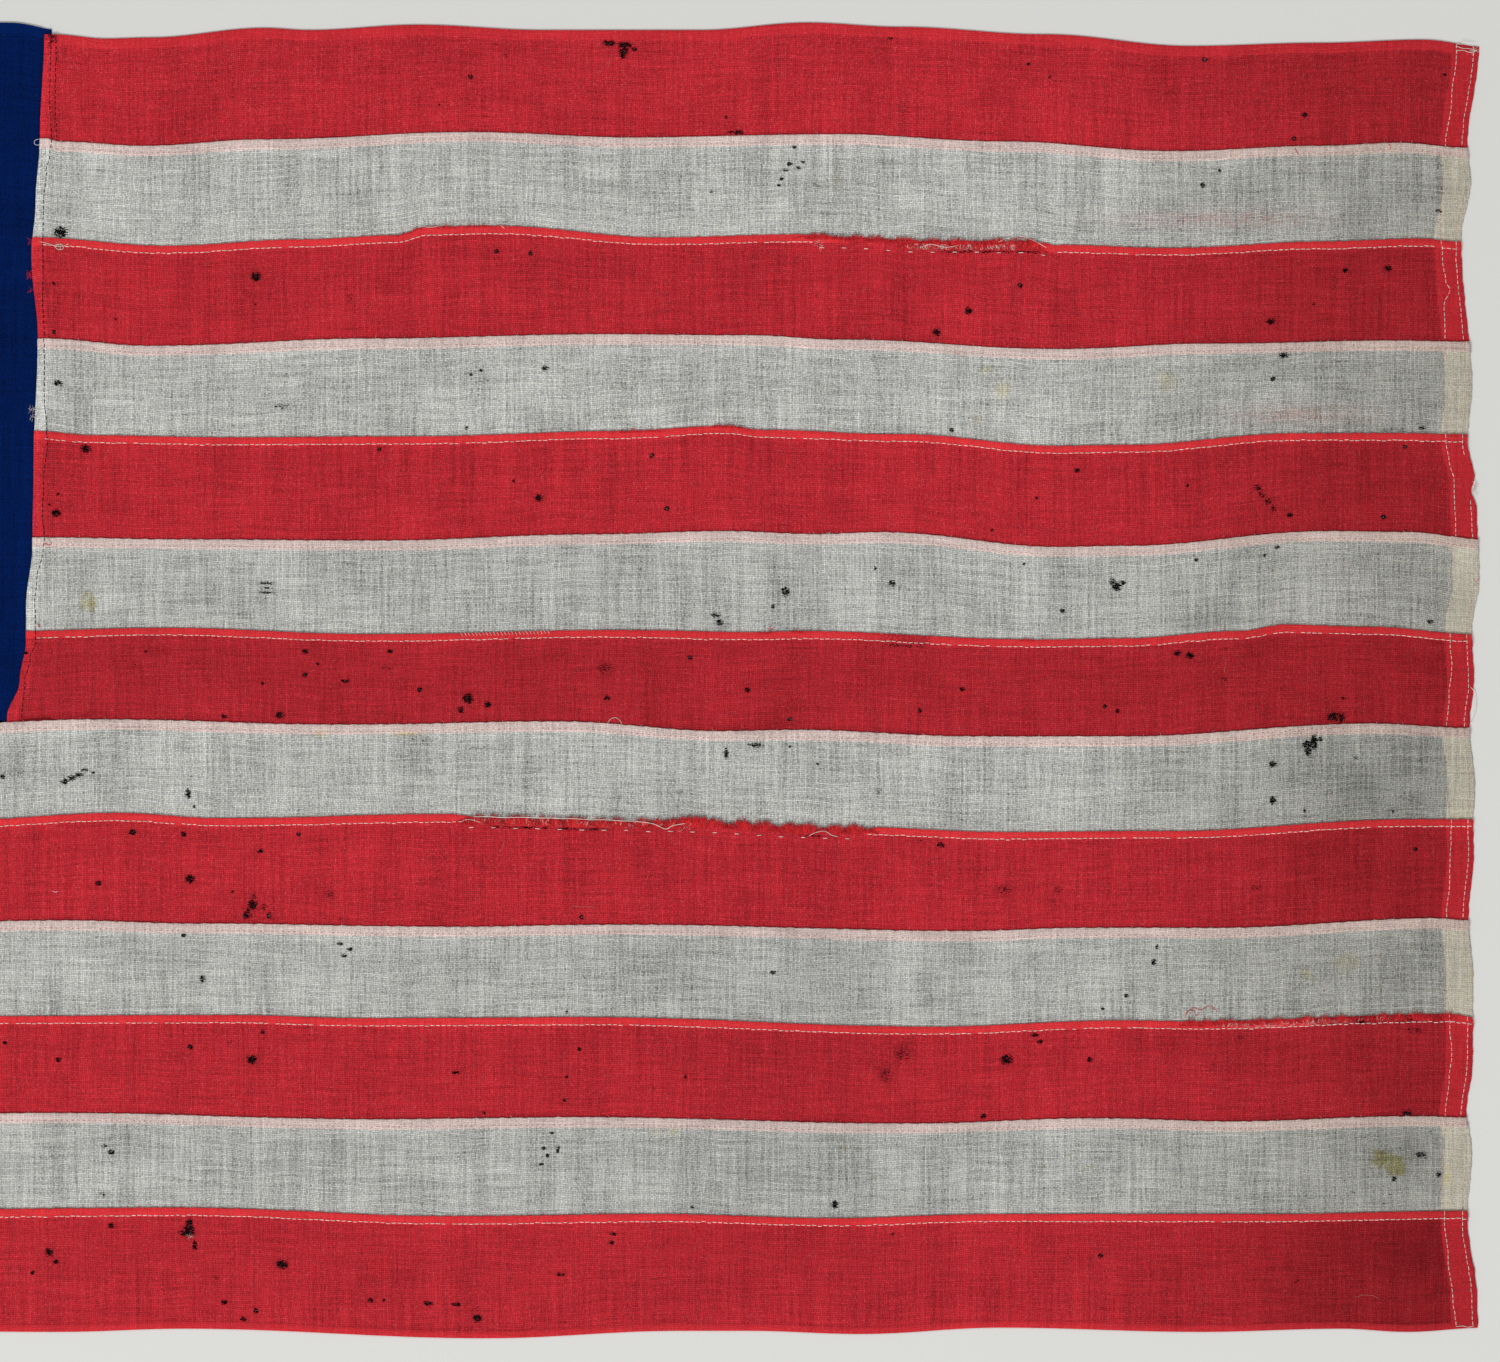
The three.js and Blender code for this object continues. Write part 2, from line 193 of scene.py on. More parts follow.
# Holes by stripe, top to bottom: (x, y, width, height), and True for a torn one.
HOLES = {
    1: [(150.2, 299.8, 5.8, 2.5), (157.4, 298.9, 6.6, 2.8), (156.8, 296, 4.2, 3),
        (156.5, 293.6, 2.2, 2.2), (161.6, 297, 2.4, 1.3), (85, 284, 2, 2), (211, 258, 4, 2),
        (207, 258, 2.5, 1), (205, 265, 1, 1), (282, 302, 2, 1), (347, 290, 1, 1),
        (357, 284, 1, 1), (430, 292, 2, 2), (477, 266, 2.5, 2), (472, 255, 2, 1.5),
        (543, 285, 1, 1)],
    2: [(-108, 211, 6.5, 5, True), (235, 243, 2.5, 1.5), (233, 240, 2.5, 1),
        (231, 236, 2, 1), (230, 233, 1.5, 1), (241, 244, 1.5, 1), (239, 241, 1.5, 1),
        (237, 251, 2, 1), (198, 230, 1, 1), (429, 233, 2, 2), (437, 240, 1, 1),
        (540, 221, 2.5, 1.5)],
    3: [(-16, 190, 4.5, 4), (-111, 187, 1, 1), (-111, 164, 1.5, 1.5), (-82, 170, 1, 1),
        (97, 202, 2, 1.5), (113, 201, 2, 1.5), (343, 186, 2, 2), (319, 174, 3.5, 2.5),
        (304, 164, 3.5, 3), (496, 193, 2.5, 2), (516, 194, 3.5, 2.5), (461, 169, 4, 2.5),
        (481, 177, 1, 1)],
    4: [(-109, 140, 3.5, 2.5), (120, 147, 3, 2), (85, 144, 1.5, 1), (90, 146, 1.5, 1),
        (83, 119, 1, 1), (311, 118, 2, 1.5), (467, 153, 4, 2.5), (462, 142, 2, 2),
        (532, 119, 2.5, 1.5)],
    5: [(-96, 109, 4.5, 3.5), (-110, 79, 4.5, 3), (-113, 83, 1, 1), (-109, 88, 1, 1),
        (42, 109, 2, 1.5), (117, 86, 4, 3), (105, 94, 1, 1), (170, 106, 2, 2),
        (177, 81, 2, 2), (370, 99, 2.5, 2), (351, 86, 1, 1), (330, 71, 1, 1),
        (470, 78, 2.5, 2), (514, 77, 2, 2), (524, 110, 2, 1.5), (422, 92, 1, 1),
        (455.2, 90.6, 1.8, 1.4), (460.2, 84, 1.4, 1.1)],
    6: [(-11, 46, 6.5, 1), (-11, 43.8, 5.5, 1), (-11, 41.6, 6.5, 1), (200, 31, 4.5, 1.5),
        (202, 27.5, 3, 2.5), (233, 42, 3.5, 4), (227, 35, 1.5, 1.5), (283, 46, 3, 2),
        (275, 53, 1, 1), (363, 33, 2, 2), (345, 55, 1, 1), (388.6, 44.4, 4.8, 3.7),
        (386.5, 46.7, 2.6, 2.7), (391.4, 46.2, 2.5, 1.9), (426, 57, 1.5, 1.5),
        (458, 59, 1, 1), (464, 63, 2, 1.5), (536, 28, 3, 1.5)],
    7: [(-124, 13, 1.5, 1.5), (-68, 14, 1, 1), (7, 14, 2.5, 2), (13, 8, 1, 1),
        (7, 3, 2, 2), (47, 14, 2.5, 2), (188, 11, 2, 1.5), (-13, -1, 1, 1),
        (26, 0, 4, 1.5), (-5, -16, 3.5, 3), (-31, -16.5, 2.5, 2), (61, -4, 2, 2),
        (83.6, -8.2, 4.2, 4.8), (80.4, -13.6, 2.2, 3), (93, -11, 3.2, 2.6), (149, -8, 2.5, 2),
        (215, -4, 2.5, 2), (235, -18, 2, 1.5), (296, -14, 1.5, 1.5), (316, -4, 2, 1.5),
        (383, -12, 1.5, 1.5), (389, -14, 1.5, 1.5), (417, 13, 3, 2), (423, 12, 3.5, 2.5),
        (490.1, -16.7, 4.2, 3.4), (493.3, -17.2, 4.4, 3.8), (495, -8, 1, 1)],
    8: [(-135, -45, 2, 2), (-96.4, -41.8, 2.6, 1.1), (-99, -44, 4, 1.9),
        (-102.6, -45.6, 3.6, 2.3), (-106, -47.3, 3.2, 2.1), (-92.5, -43, 1.2, 1),
        (-48, -53, 2, 4), (-45, -59, 1, 1), (205, -34, 1.5, 4.5), (219, -30, 6.5, 2),
        (248, -39, 1, 1), (235, -31, 1, 1), (481.3, -29, 3.2, 6.2), (478.2, -29.8, 4.6, 3.6),
        (478.5, -33, 2.8, 3.6), (484.2, -27.4, 1.8, 1.4), (462, -39, 3.5, 2.5),
        (462, -56, 3, 3), (477, -61, 1, 1)],
    9: [(-74, -71, 3, 2.5), (-50, -72, 2.5, 2), (4, -72, 1.5, 1.5), (-14, -80, 3, 1.5),
        (-47, -93, 4, 3.5), (-90, -95, 2.5, 2), (-27, -99, 1, 1),
        (-17.6, -105.2, 4, 4.4), (-20.8, -110.4, 2.2, 2),
        (-10, -110.5, 1.5, 2), (137, -111, 1.5, 1.5), (306, -77, 3, 2),
        (529, -79, 1.5, 1.5)],
    10: [(-50, -119.5, 2, 1.5), (-41, -140, 2, 3), (23.5, -123.5, 2.6, 1.3),
         (28, -126, 2.6, 1.5), (25.5, -129, 2.5, 1.5), (130, -155.5, 1, 1),
         (227, -137, 2.5, 1.5), (382, -154, 1, 1), (406, -132, 2, 2.5),
         (407.5, -125, 1, 1.5), (393, -148, 2, 1.5)],
    11: [(503.3, -159.4, 3.8, 2.2), (526.7, -158.6, 3.2, 2),
         (-109, -178, 2.5, 2), (-47, -172, 2, 2), (-18, -178, 4, 3.5),
         (-13, -165, 1.5, 1.5), (-134, -170, 1.5, 1.5), (78, -184, 3.5, 1.5),
         (136, -173, 1.5, 1.5), (129, -197, 1, 1), (186, -186, 1, 1), (130, -186, 1, 1),
         (91, -203, 1, 1), (337, -178, 5.6, 4.4, True), (350, -166.5, 3.5, 1.5),
         (352.5, -169.5, 2.5, 1.5), (376, -178, 2.5, 2), (326, -204.5, 2.5, 2),
         (525, -203, 4.4, 2)],
    12: [(-84, -221.5, 3, 2), (-87, -218.5, 3, 1), (119, -219.5, 2, 1.2),
         (121, -223, 1.5, 1.5), (118, -227, 2, 1), (126, -220, 1.5, 3),
         (123, -212.5, 1.5, 1), (189, -247.5, 1.5, 1), (256, -246, 2.5, 3.5),
         (540, -232, 2.2, 2.2), (519, -234, 1.8, 2),
         (531.5, -222.6, 4.5, 2.2, True)],
    13: [(-84, -256, 2.5, 2), (-47.4, -254.6, 2.8, 3.4), (-47.7, -257, 4.8, 3),
         (-48.3, -259.3, 7.2, 3), (-44.7, -265.3, 1.8, 3.4),
         (-113, -268.5, 3.5, 3), (-110, -273, 2.5, 2), (-121, -278, 1.5, 1.5),
         (-3.8, -274.1, 5.2, 3.7), (-31, -292, 2.5, 2), (-16, -296, 2, 2),
         (-22, -300, 2.5, 2), (38, -291, 2.5, 2), (65, -292.5, 4, 2), (78, -293, 4, 1.5),
         (88, -299.5, 4, 3), (127, -279, 3, 1.5), (152, -260, 2.5, 1.5),
         (151, -264, 2.5, 1.5), (44, -291, 1, 1), (381, -270, 2, 1.5)],
}

# Thin spots, where the cloth is worn but not yet through, darkened with painted shade:
# (x, y, width, height, and a share where a spot is stronger or weaker than the rest).
THIN = {
    1: [(70, 271, 2, 2), (101, 294, 3, 2.5), (97, 299, 2.5, 2), (-86, 295, 1.5, 1.5),
        (517, 251, 2, 2.5)],
    3: [(-19, 182, 3, 2.5), (-16, 177, 2.5, 2.5), (28, 180, 2.5, 6.5)],
    4: [(-4, 129, 9.5, 4), (-27, 120, 3, 1.5), (462, 149, 2, 2)],
    5: [(454.8, 90.8, 4.4, 4.6, 1.3), (457, 87.6, 4.4, 4.6, 1.3), (459.6, 84.4, 4.2, 4.4, 1.2),
        (462.2, 81.2, 3.4, 4.2, 1.2)],
    7: [(-73, 8, 3, 3), (45, 6, 6.5, 3), (148, 6, 9.5, 7), (439, 15, 2.5, 2),
        (439, 1, 3.2, 2.8, 1.2)],
    8: [(-46, -45, 2, 1.5), (63, -28, 2.5, 1.5), (183, -52, 4.5, 3), (277, -52, 4, 6.5),
        (518, -61, 4, 4), (501, -36, 3.2, 2.6, 1.3), (543, -38, 1.8, 1.6)],
    9: [(-20, -109, 5.5, 6.5, 1.35), (-17.4, -101.6, 4, 5.5, 1.1),
        (-12.6, -106.4, 5.4, 3.4, 1.2), (-9.7, -110, 2.8, 5, 1.2),
        (15, -109, 2.5, 2), (24, -112, 2.5, 2), (19, -100, 6.5, 4),
        (296, -75, 3, 2), (335, -98, 9.5, 4.5), (361, -98, 5.5, 4), (454, -97, 5.5, 4)],
    11: [(-28, -170, 3, 3), (288, -175, 9.5, 11.5), (280, -185, 8.5, 9.5),
         (434, -180, 2.5, 2), (447, -167.5, 3.5, 2.2),
         (529, -164, 9.5, 4)],
    12: [(-88, -241, 4, 4), (89, -235, 2.5, 2), (134, -234, 2.5, 1.5), (517, -242, 3, 3),
         (500, -240, 2.5, 2), (533, -223, 7, 4),
         (536, -212, 2.5, 2.5), (514, -246, 2.5, 2), (445, -243, 2.5, 2)],
    13: [(88, -295, 3, 2.5), (283, -260, 3, 2.5), (-34.5, -280.6, 4, 3), (473, -282, 3.2, 2.6),
         (504, -282, 2.6, 1.8)],
}

# Stains: (x, y, width, height, and a share where it is stronger or weaker).
YELLOW = [(258, 236, 3, 6.5), (327, 146, 7, 3), (335, 137, 7.5, 9.5), (323, 123, 4, 4),
          (412, 141, 9.5, 9.5), (14, -25, 5.5, 3), (55, -25, 12, 3), (497, -132, 14, 9.5),
          (478, -138, 7.5, 6.5), (556, -138, 4.5, 7.5), (180, -212, 5.5, 4),
          (172, -212, 4, 3), (544, -232, 5.5, 14)]
OLIVE = [(512.5, -224.5, 10, 9), (520, -228, 12, 11), (-95, 37, 11, 15, 0.52),
         (261, -218, 7, 8, 0.4),
         (274, -232, 8, 6, 0.36), (366, -224, 8, 6, 0.4), (354, -227, 6, 6, 0.34),
         (375, -229, 6, 6, 0.34)]
PINK = [(437, 217, 103.5, 9.5), (475, 125, 75, 9.5)]
GRIME = [(439, 29, 37.5, 9.5), (503, -51, 25.5, 23.5), (525, -220, 28, 37.5),
         (526, -270, 33, 28), (235, -190, 170, 230, 0.6)]

# How light each stripe is, near the canton and near the fly.
TONE = {1: (1.04, 0.68), 2: (1.00, 0.69), 3: (0.98, 0.66), 4: (0.99, 0.66),
        5: (0.99, 0.64), 6: (0.94, 0.72), 7: (0.84, 0.63), 8: (0.95, 0.57),
        9: (0.98, 0.61), 10: (0.92, 0.63), 11: (0.96, 0.64), 12: (0.89, 0.62),
        13: (0.94, 0.47)}


# ---- Flat cuts: where a sheet's points lie on the unsewn cloth ----------------------

def slit(x, y, width, height, rng, count=8):
    """The ragged edge of one small opening between threads."""
    angles = (np.arange(count) + 0.5 + rng.uniform(-0.2, 0.2, count)) * TAU / count
    square = (np.abs(np.cos(angles)) ** 3 + np.abs(np.sin(angles)) ** 3) ** (-1 / 3)
    reach = square * rng.uniform(0.82, 1.1, count) / 2
    return np.column_stack([x + reach * width * np.cos(angles),
                            y + reach * height * np.sin(angles)])


def openings(mark, rng):
    """A hole's openings. A wide hole is several, with worn threads left between them."""
    x, y, width, height = mark[:4]
    torn = len(mark) > 4
    if max(width, height) < SMALL_HOLE:
        return [slit(x, y, max(0.46 * width, 0.45), max(0.46 * height, 0.42), rng)]
    found = []
    arm_count, arm_turn = int(rng.integers(3, 6)), rng.uniform(0, TAU)
    across, down = int(width / THREADS_LEFT) + 1, int(height / THREADS_LEFT) + 1
    for i in range(-across, across + 1):
        for j in range(-down, down + 1):
            dx, dy = (i + 0.25 * (j % 2)) * THREADS_LEFT, j * THREADS_LEFT
            reach = math.hypot(dx / (width / 2), dy / (height / 2))
            limit = 0.86 + rng.uniform(-0.25, 0.05)
            if torn:
                around = math.atan2(dy / height, dx / width)
                arms = 0.5 + 0.5 * math.cos(arm_count * around + arm_turn)
                limit = 0.36 + 0.72 * arms * (0.75 + 0.25 * math.cos(around + arm_turn * 2))
            if reach < limit and rng.random() < 0.88:
                shift = rng.uniform(-0.11, 0.11, 2)
                size = rng.uniform(0.44, 0.66, 2) * THREADS_LEFT
                found.append(slit(x + dx + shift[0], y + dy + shift[1], *size, rng))
    return found or [slit(x, y, 0.5 * width, 0.5 * height, rng)]


def ring(mark, share, extra, count):
    """Points around a mark, share of the way out to its edge and a little further."""
    x, y, width, height = mark[:4]
    angles = np.arange(count) * TAU / count
    return np.column_stack([x + (share * width / 2 + extra) * np.cos(angles),
                            y + (share * height / 2 + extra) * np.sin(angles)])


def inside(points, outline):
    """Which points lie inside a closed outline."""
    result = np.zeros(len(points), bool)
    x, y = points[:, 0], points[:, 1]
    for (x1, y1), (x2, y2) in zip(outline, np.roll(outline, -1, axis=0)):
        crosses = (y1 > y) != (y2 > y)
        with np.errstate(divide="ignore", invalid="ignore"):
            result ^= crosses & (x < (x2 - x1) * (y - y1) / (y2 - y1) + x1)
    return result


def cut_cloth(columns, rows, holes, soft_spots, rng):
    """Points and triangles of a flat cloth, with its holes cut out of it.

    The points lie where the columns and rows cross, except near a hole, where they
    lie in rings around it, and near a soft spot, where there are a few more.
    """
    across, down = np.meshgrid(columns, rows)
    grid = np.column_stack([across.ravel(), down.ravel()])
    keep = np.ones(len(grid), bool)
    border = ((grid[:, 0] == columns[0]) | (grid[:, 0] == columns[-1])
              | (grid[:, 1] == rows[0]) | (grid[:, 1] == rows[-1]))
    outlines = [outline for hole in holes for outline in openings(hole, rng)]
    rings = []
    for hole in holes:
        near = np.hypot((grid[:, 0] - hole[0]) / (hole[2] / 2 + 1.5),
                        (grid[:, 1] - hole[1]) / (hole[3] / 2 + 1.5)) < 1
        keep &= ~near | border
        rings.append(ring(hole, 0.95, 0.12, 12))
        rings.append(ring(hole, 1.15, 0.6, 14))
    for spot in soft_spots:
        rings.append(ring(spot, 0.5, 0, 6))
        rings.append(ring(spot, 1.0, 0, 8))
    loose = np.vstack([grid[keep]] + rings) if rings else grid[keep]
    clear = np.ones(len(loose), bool)
    for outline in outlines:
        clear &= ~inside(loose, outline)
    clear &= (loose[:, 0] >= columns[0]) & (loose[:, 0] <= columns[-1])
    clear &= (loose[:, 1] >= rows[0]) & (loose[:, 1] <= rows[-1])
    points = [loose[clear]]
    edges = []
    start = int(clear.sum())
    for outline in outlines:
        count = len(outline)
        points.append(outline)
        edges += [(start + i, start + (i + 1) % count) for i in range(count)]
        start += count
    flat, _, faces, *_ = delaunay_2d_cdt([Vector(p) for p in np.vstack(points)],
                                         edges, [], 0, 1e-4)
    flat = np.array([(p.x, p.y) for p in flat])
    faces = np.array([f for f in faces if len(f) == 3])
    a, b, c = flat[faces[:, 0]], flat[faces[:, 1]], flat[faces[:, 2]]
    turn = ((b[:, 0] - a[:, 0]) * (c[:, 1] - a[:, 1])
            - (b[:, 1] - a[:, 1]) * (c[:, 0] - a[:, 0]))
    faces[turn < 0] = faces[turn < 0][:, ::-1]
    solid = np.abs(turn) > 1e-5
    centres = (a + b + c) / 3
    for outline in outlines:
        solid &= ~inside(centres, outline)
    faces = faces[solid]
    used = np.unique(faces)
    number = np.zeros(len(flat), int)
    number[used] = np.arange(len(used))
    return flat[used], number[faces]


# ---- Meshes -------------------------------------------------------------------------

def new_object(name, points, faces, material):
    """A mesh that is part of the flag, with its points in mm."""
    mesh = bpy.data.meshes.new(name)
    mesh.from_pydata((points * MM).tolist(), [], faces)
    mesh.materials.append(material)
    mesh.shade_smooth()
    item = bpy.data.objects.new(name, mesh)
    bpy.context.scene.collection.objects.link(item)
    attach(item, "root")
    return item


# What a cloth's material reads at each point: its place in the weave, seam bands and hems,
# painted shade, how light it is, stains, and the pale inside of a fold.
SHEET_VALUES = ("weave", "band", "hem", "dark", "tone", "yellow", "olive", "pink", "bare")


def add_values(item, name, values, kind="FLOAT"):
    """One named number, or vector, at each of the mesh's points, for its material."""
    layer = item.data.attributes.new(name, kind, "POINT")
    key = "vector" if kind == "FLOAT_VECTOR" else "value"
    layer.data.foreach_set(key, np.ascontiguousarray(values, np.float32).ravel())


def closed_sheet(name, x, y, low, high, triangles, material, values):
    """A sheet with a top, an underside, and a rim around it and in each hole.

    The triangles run anticlockwise seen from above. values are what its material reads.
    """
    count = len(x)
    top = np.column_stack([x, y, high])
    bottom = np.column_stack([x, y, low])
    sides = np.vstack([triangles[:, [0, 1]], triangles[:, [1, 2]], triangles[:, [2, 0]]])
    codes = sides[:, 0] * count + sides[:, 1]
    rim = sides[~np.isin(codes, sides[:, 1] * count + sides[:, 0])]
    faces = triangles.tolist()
    faces += (triangles[:, ::-1] + count).tolist()
    faces += np.column_stack([rim[:, 0] + count, rim[:, 1] + count,
                              rim[:, 1], rim[:, 0]]).tolist()
    item = new_object(name, np.vstack([top, bottom]), faces, material)
    for key in SHEET_VALUES:
        value = values.get(key, np.zeros(count))
        kind = "FLOAT_VECTOR" if value.ndim == 2 else "FLOAT"
        add_values(item, key, np.concatenate([value, value]), kind)
    return item


# ---- Stripes ------------------------------------------------------------------------

def fly_shift(a, y):
    return wave(FLY_WAVE, y) * smooth(a, FLY_PULL, FLY_END)


def canton_shift(a, y):
    return wave(CANTON_WAVE, y) * fade(a, CANTON_X + 6, CANTON_X + 60)


def pucker(a, number):
    """The small gathers that the stitches draw along a seam, 0 to 1."""
    return 0.5 + 0.45 * np.clip(ripple(a * TAU / 11, 3.1 * number), -1, 1)


BITE_Y, BITE_DEPTH, BITE_HALF = 89.5, 2.4, 4.0       # a piece gone from the fly edge

# Worn folds: (line, from x, to x, how far back the edge has gone).
WORN_FOLDS = [(2, 246, 360, 1.3), (8, 82, 272, 3.0)]

# Where the cloth has parted just below a fold, drawn as a line of painted shade: (line,
# from x, to x, distance down, width).
SLITS = [(2, 300, 360, 5.2, 0.5), (6, 274, 303, 5.0, 0.8), (8, 89, 156, 5.3, 0.6),
         (8, 232, 262, 4.8, 0.5)]

# Where a fold's bright inner side has worn or stained away: (line, from x, to x).
DULL_FOLDS = [(2, 258, 296), (8, 186, 274), (10, 476, 548), (6, 272, 305)]

# Where the pale cloth inside a red fold shows through its torn outside:
# (line, from x, to x, from and to this far down, how strongly).
BARE_FOLDS = [(8, 84, 168, 0.4, 1.1, 0.95), (8, 84, 168, 1.1, 4.2, 0.55),
              (8, 168, 190, 0.4, 4.0, 0.35), (2, 288, 311, 2.2, 4.3, 0.62),
              (2, 312, 327, 2.0, 4.4, 0.72), (2, 330, 345, 0.6, 3.8, 0.45),
              (2, 247, 252, 1.5, 3.4, 0.7), (10, 440, 500, 1.6, 2.6, 0.35)]


def of_fold(table, number):
    """The table's entries for the folded edge of one stripe."""
    return [entry[1:] for entry in table if entry[0] == number - 1]


# Where a stripe's points lie: from its left end, from the fly edge, and down from its own
# fold, from its bottom edge and from the next stripe's fold.
SHORT_START = np.array([0, 0.5, 1.6, 2.8, 4.0, 4.6, 5.6])
LONG_START = np.array([0, 2.6, 5.2])
HEM_COLUMNS = np.array([-13.6, -12.9, -12.3, -11, -9, -7, -5, -3, -1.5, -0.5, 0])
FOLD_ROWS = np.array([0, 0.3, 0.9, 1.6, 2.6, 3.77, 3.95, 4.65, 5.3, 6.6, 8.4])
BOTTOM_ROWS = np.array([-4.6, -3.4, -3.0, -1.8, -0.8, -0.3, 0])
SEAM_ROWS = np.array([-4.6, -2.6, -1.1, -0.2, 1.2, LAP])


class Stripe:
    """One stripe: where a point of its flat cut lies on the flag.

    a runs along the stripe and s down it from its folded edge, both in mm.
    """

    def __init__(self, number):
        self.number = number
        self.top = LINES[number - 1]
        self.bottom = LINES[number]
        self.depth = self.top[0] - self.bottom[0]
        self.short = number <= CANTON_STRIPES
        self.white = number % 2 == 0
        self.first = number == 1
        self.last = number == STRIPES
        self.start = CANTON_X if self.short else FLAG_END_X
        self.end_s = self.depth if self.last else self.depth + LAP

    def to_flat(self, x, y):
        """The flat cut's (a, s) for a place on the flag."""
        a = x
        for _ in range(4):
            shift = fly_shift(a, y)
            if self.short:
                shift = shift + canton_shift(a, y)
            a = x - shift
        top, bottom = line_y(self.top, a), line_y(self.bottom, a)
        return a, (top - y) * self.depth / (top - bottom)

    def flat_marks(self, marks):
        """Marks (x, y, size...) on the flag, with their place on the flat cut instead."""
        places = [self.to_flat(mark[0], mark[1]) for mark in marks]
        return [(float(a), float(s)) + mark[2:] for (a, s), mark in zip(places, marks)]

    def to_flag(self, a, s):
        """The place (x, y) on the flag of a point of the flat cut."""
        top, bottom = line_y(self.top, a), line_y(self.bottom, a)
        y = top - s * (top - bottom) / self.depth
        x = a + fly_shift(a, y)
        if self.short:
            x = x + canton_shift(a, y)
        if not self.first:
            nibble = 0.22 * ripple(a * TAU / 4.3, self.number) * fade(s, 0, 2.2)
            y = y + nibble + self.fray(a) * fade(s, 0, 3)
        edge = smooth(a, FLY_X - 3, FLY_X)
        bite = BITE_DEPTH * np.exp(-((y - BITE_Y) / BITE_HALF) ** 2) * smooth(a, FLY_X - 6, FLY_X)
        return x + 0.3 * ripple(y * TAU / 6, 2.0) * edge - bite, y

    def fray(self, a):
        """How far the folded edge has worn back, where it has."""
        back = 0
        for start, end, depth in of_fold(WORN_FOLDS, self.number):
            uneven = 0.6 + 0.4 * ripple(a * TAU / 13, self.number - 1)
            back = back - depth * between(a, start - 5, end + 5, 10) * uneven
        return back

    def heights(self, a, s):
        """The underside and top of the cloth above the table."""
        hem = smooth(a, FLY_END - 0.5, FLY_END + 0.2)
        over = np.zeros_like(a)
        folded_end = np.zeros_like(a)
        if self.short:
            over = fade(a, CANTON_X + LAP + 0.4, CANTON_X + LAP + 5)
            folded_end = fade(a, CANTON_X + LAP, CANTON_X + LAP + 0.5)
        thick = SHEET + (DOUBLE - SHEET) * np.maximum(hem, folded_end)
        ground = TABLE_GAP + over * (SHEET + REST)
        run = self.depth - 3
        along = np.clip((s - FOLD) / (run - FOLD), 0, 1)
        ends = smooth(a, self.start + 4, self.start + 34) * fade(a, *LOFT_END)
        bow = np.sin(np.pi * along) ** 0.85 * (0.35 + 0.65 * ends)
        relax = 0.75 + 0.3 * ripple(a * TAU / 137, self.number * 1.9)
        x, y = self.to_flag(a, s)
        roll = 0.16 * ripple((x + 0.6 * y) * TAU / 63, 4.0) * np.sin(np.pi * along) * ends
        low = ground + LOFT * bow * relax + roll
        rise = np.zeros_like(a)
        if not self.first:
            rise = fade(s, FOLD - 0.2, FOLD + 3.6)
            if self.number == CANTON_STRIPES + 1:
                on_corner = (smooth(a, CANTON_X - 13.5, CANTON_X - 12)
                             * fade(a, CANTON_X + 6, CANTON_X + 9))
                low = low + on_corner * rise * (DOUBLE + REST)
            fold_top = fade(s, FOLD - 0.45, FOLD)
            low = low + rise * (thick + REST)
            thick = np.maximum(thick, SHEET + (DOUBLE + 0.3 * hem - SHEET) * fold_top)
        else:
            thick = np.where(s < EDGE_HEM + 0.1, DOUBLE, thick)
        if self.last:
            thick = np.where(s > self.depth - BOTTOM_HEM - 0.1, DOUBLE, thick)
        near_top = fade(s, FOLD + 1, FOLD + 13)
        near_bottom = smooth(s, self.depth - 15, self.depth - 1)
        low = low + PUCKER * (pucker(a, self.number - 1) * near_top * (not self.first)
                            + pucker(a, self.number) * near_bottom)
        high = low + thick
        lip = fade(s, 0, EDGE_ROUND)
        high = high - 0.3 * lip * thick
        low = low + 0.1 * lip
        if self.last:
            high = high - 0.3 * smooth(s, self.depth - EDGE_ROUND, self.depth) * DOUBLE
        side = smooth(a, FLY_X - EDGE_ROUND, FLY_X)
        return low, high - 0.35 * side * thick

    def columns(self):
        open_cloth = np.arange(self.start + 8, FLY_END - 1.5, COLUMN)
        left = SHORT_START if self.short else LONG_START
        return np.concatenate([self.start + left, open_cloth, FLY_X + HEM_COLUMNS])

    def rows(self):
        middle = np.linspace(10.8, self.depth - 7, 12)
        final = self.depth + (BOTTOM_ROWS if self.last else SEAM_ROWS)
        return np.concatenate([FOLD_ROWS, middle, final])


def darkness(stripe, a, s, holes, spots):
    """How dark each point is: painted shade around holes, in thin spots, in the crease above the
    next fold and along parted folds.
    """
    dark = np.zeros_like(a)
    # painted shade around each hole, and a softer ring of it around a wide one
    for hole in holes:
        reach = np.hypot((a - hole[0]) / (hole[2] / 2), (s - hole[1]) / (hole[3] / 2))
        dark = np.maximum(dark, fade(reach, 0.6, 1.3 + 0.9 / hole[2]))
        if max(hole[2:4]) >= WIDE_HOLE:
            dark = np.maximum(dark, 0.34 * np.exp(-(reach / 1.7) ** 2))
    # painted shade in each thin spot
    if spots:
        dark = np.maximum(dark, THIN_SHADE * blot(a, s, spots))
    if not stripe.last:
        # painted shadow in the crease just above the next stripe's fold
        crease_shade = 0.06 if stripe.white else 0.17
        dark = np.maximum(dark, crease_shade * smooth(s, stripe.depth - 2.4, stripe.depth - 0.6))
    # painted shade along each parting just below the fold
    for start, end, down, width in of_fold(SLITS, stripe.number):
        broken = np.clip(0.62 + 0.5 * ripple(a * TAU / 8, stripe.number - 1), 0, 1)
        parted = between(a, start, end, 12) * broken
        dark = np.maximum(dark, parted * np.exp(-((s - down) / width) ** 2))
    return dark


def seam_band(stripe, a, s):
    """Where a fold shows its own bright colour, less where that has worn away."""
    if stripe.first:
        return np.zeros_like(a)
    band = fade(s, 3.9, 5.6) if stripe.white else (s < RED_BAND - 0.02).astype(float)
    for start, end in of_fold(DULL_FOLDS, stripe.number):
        patchy = np.clip(0.85 + 0.4 * ripple(a * TAU / 19, stripe.number - 1), 0, 1)
        band = band * (1 - between(a, start, end, 8) * patchy)
    return band


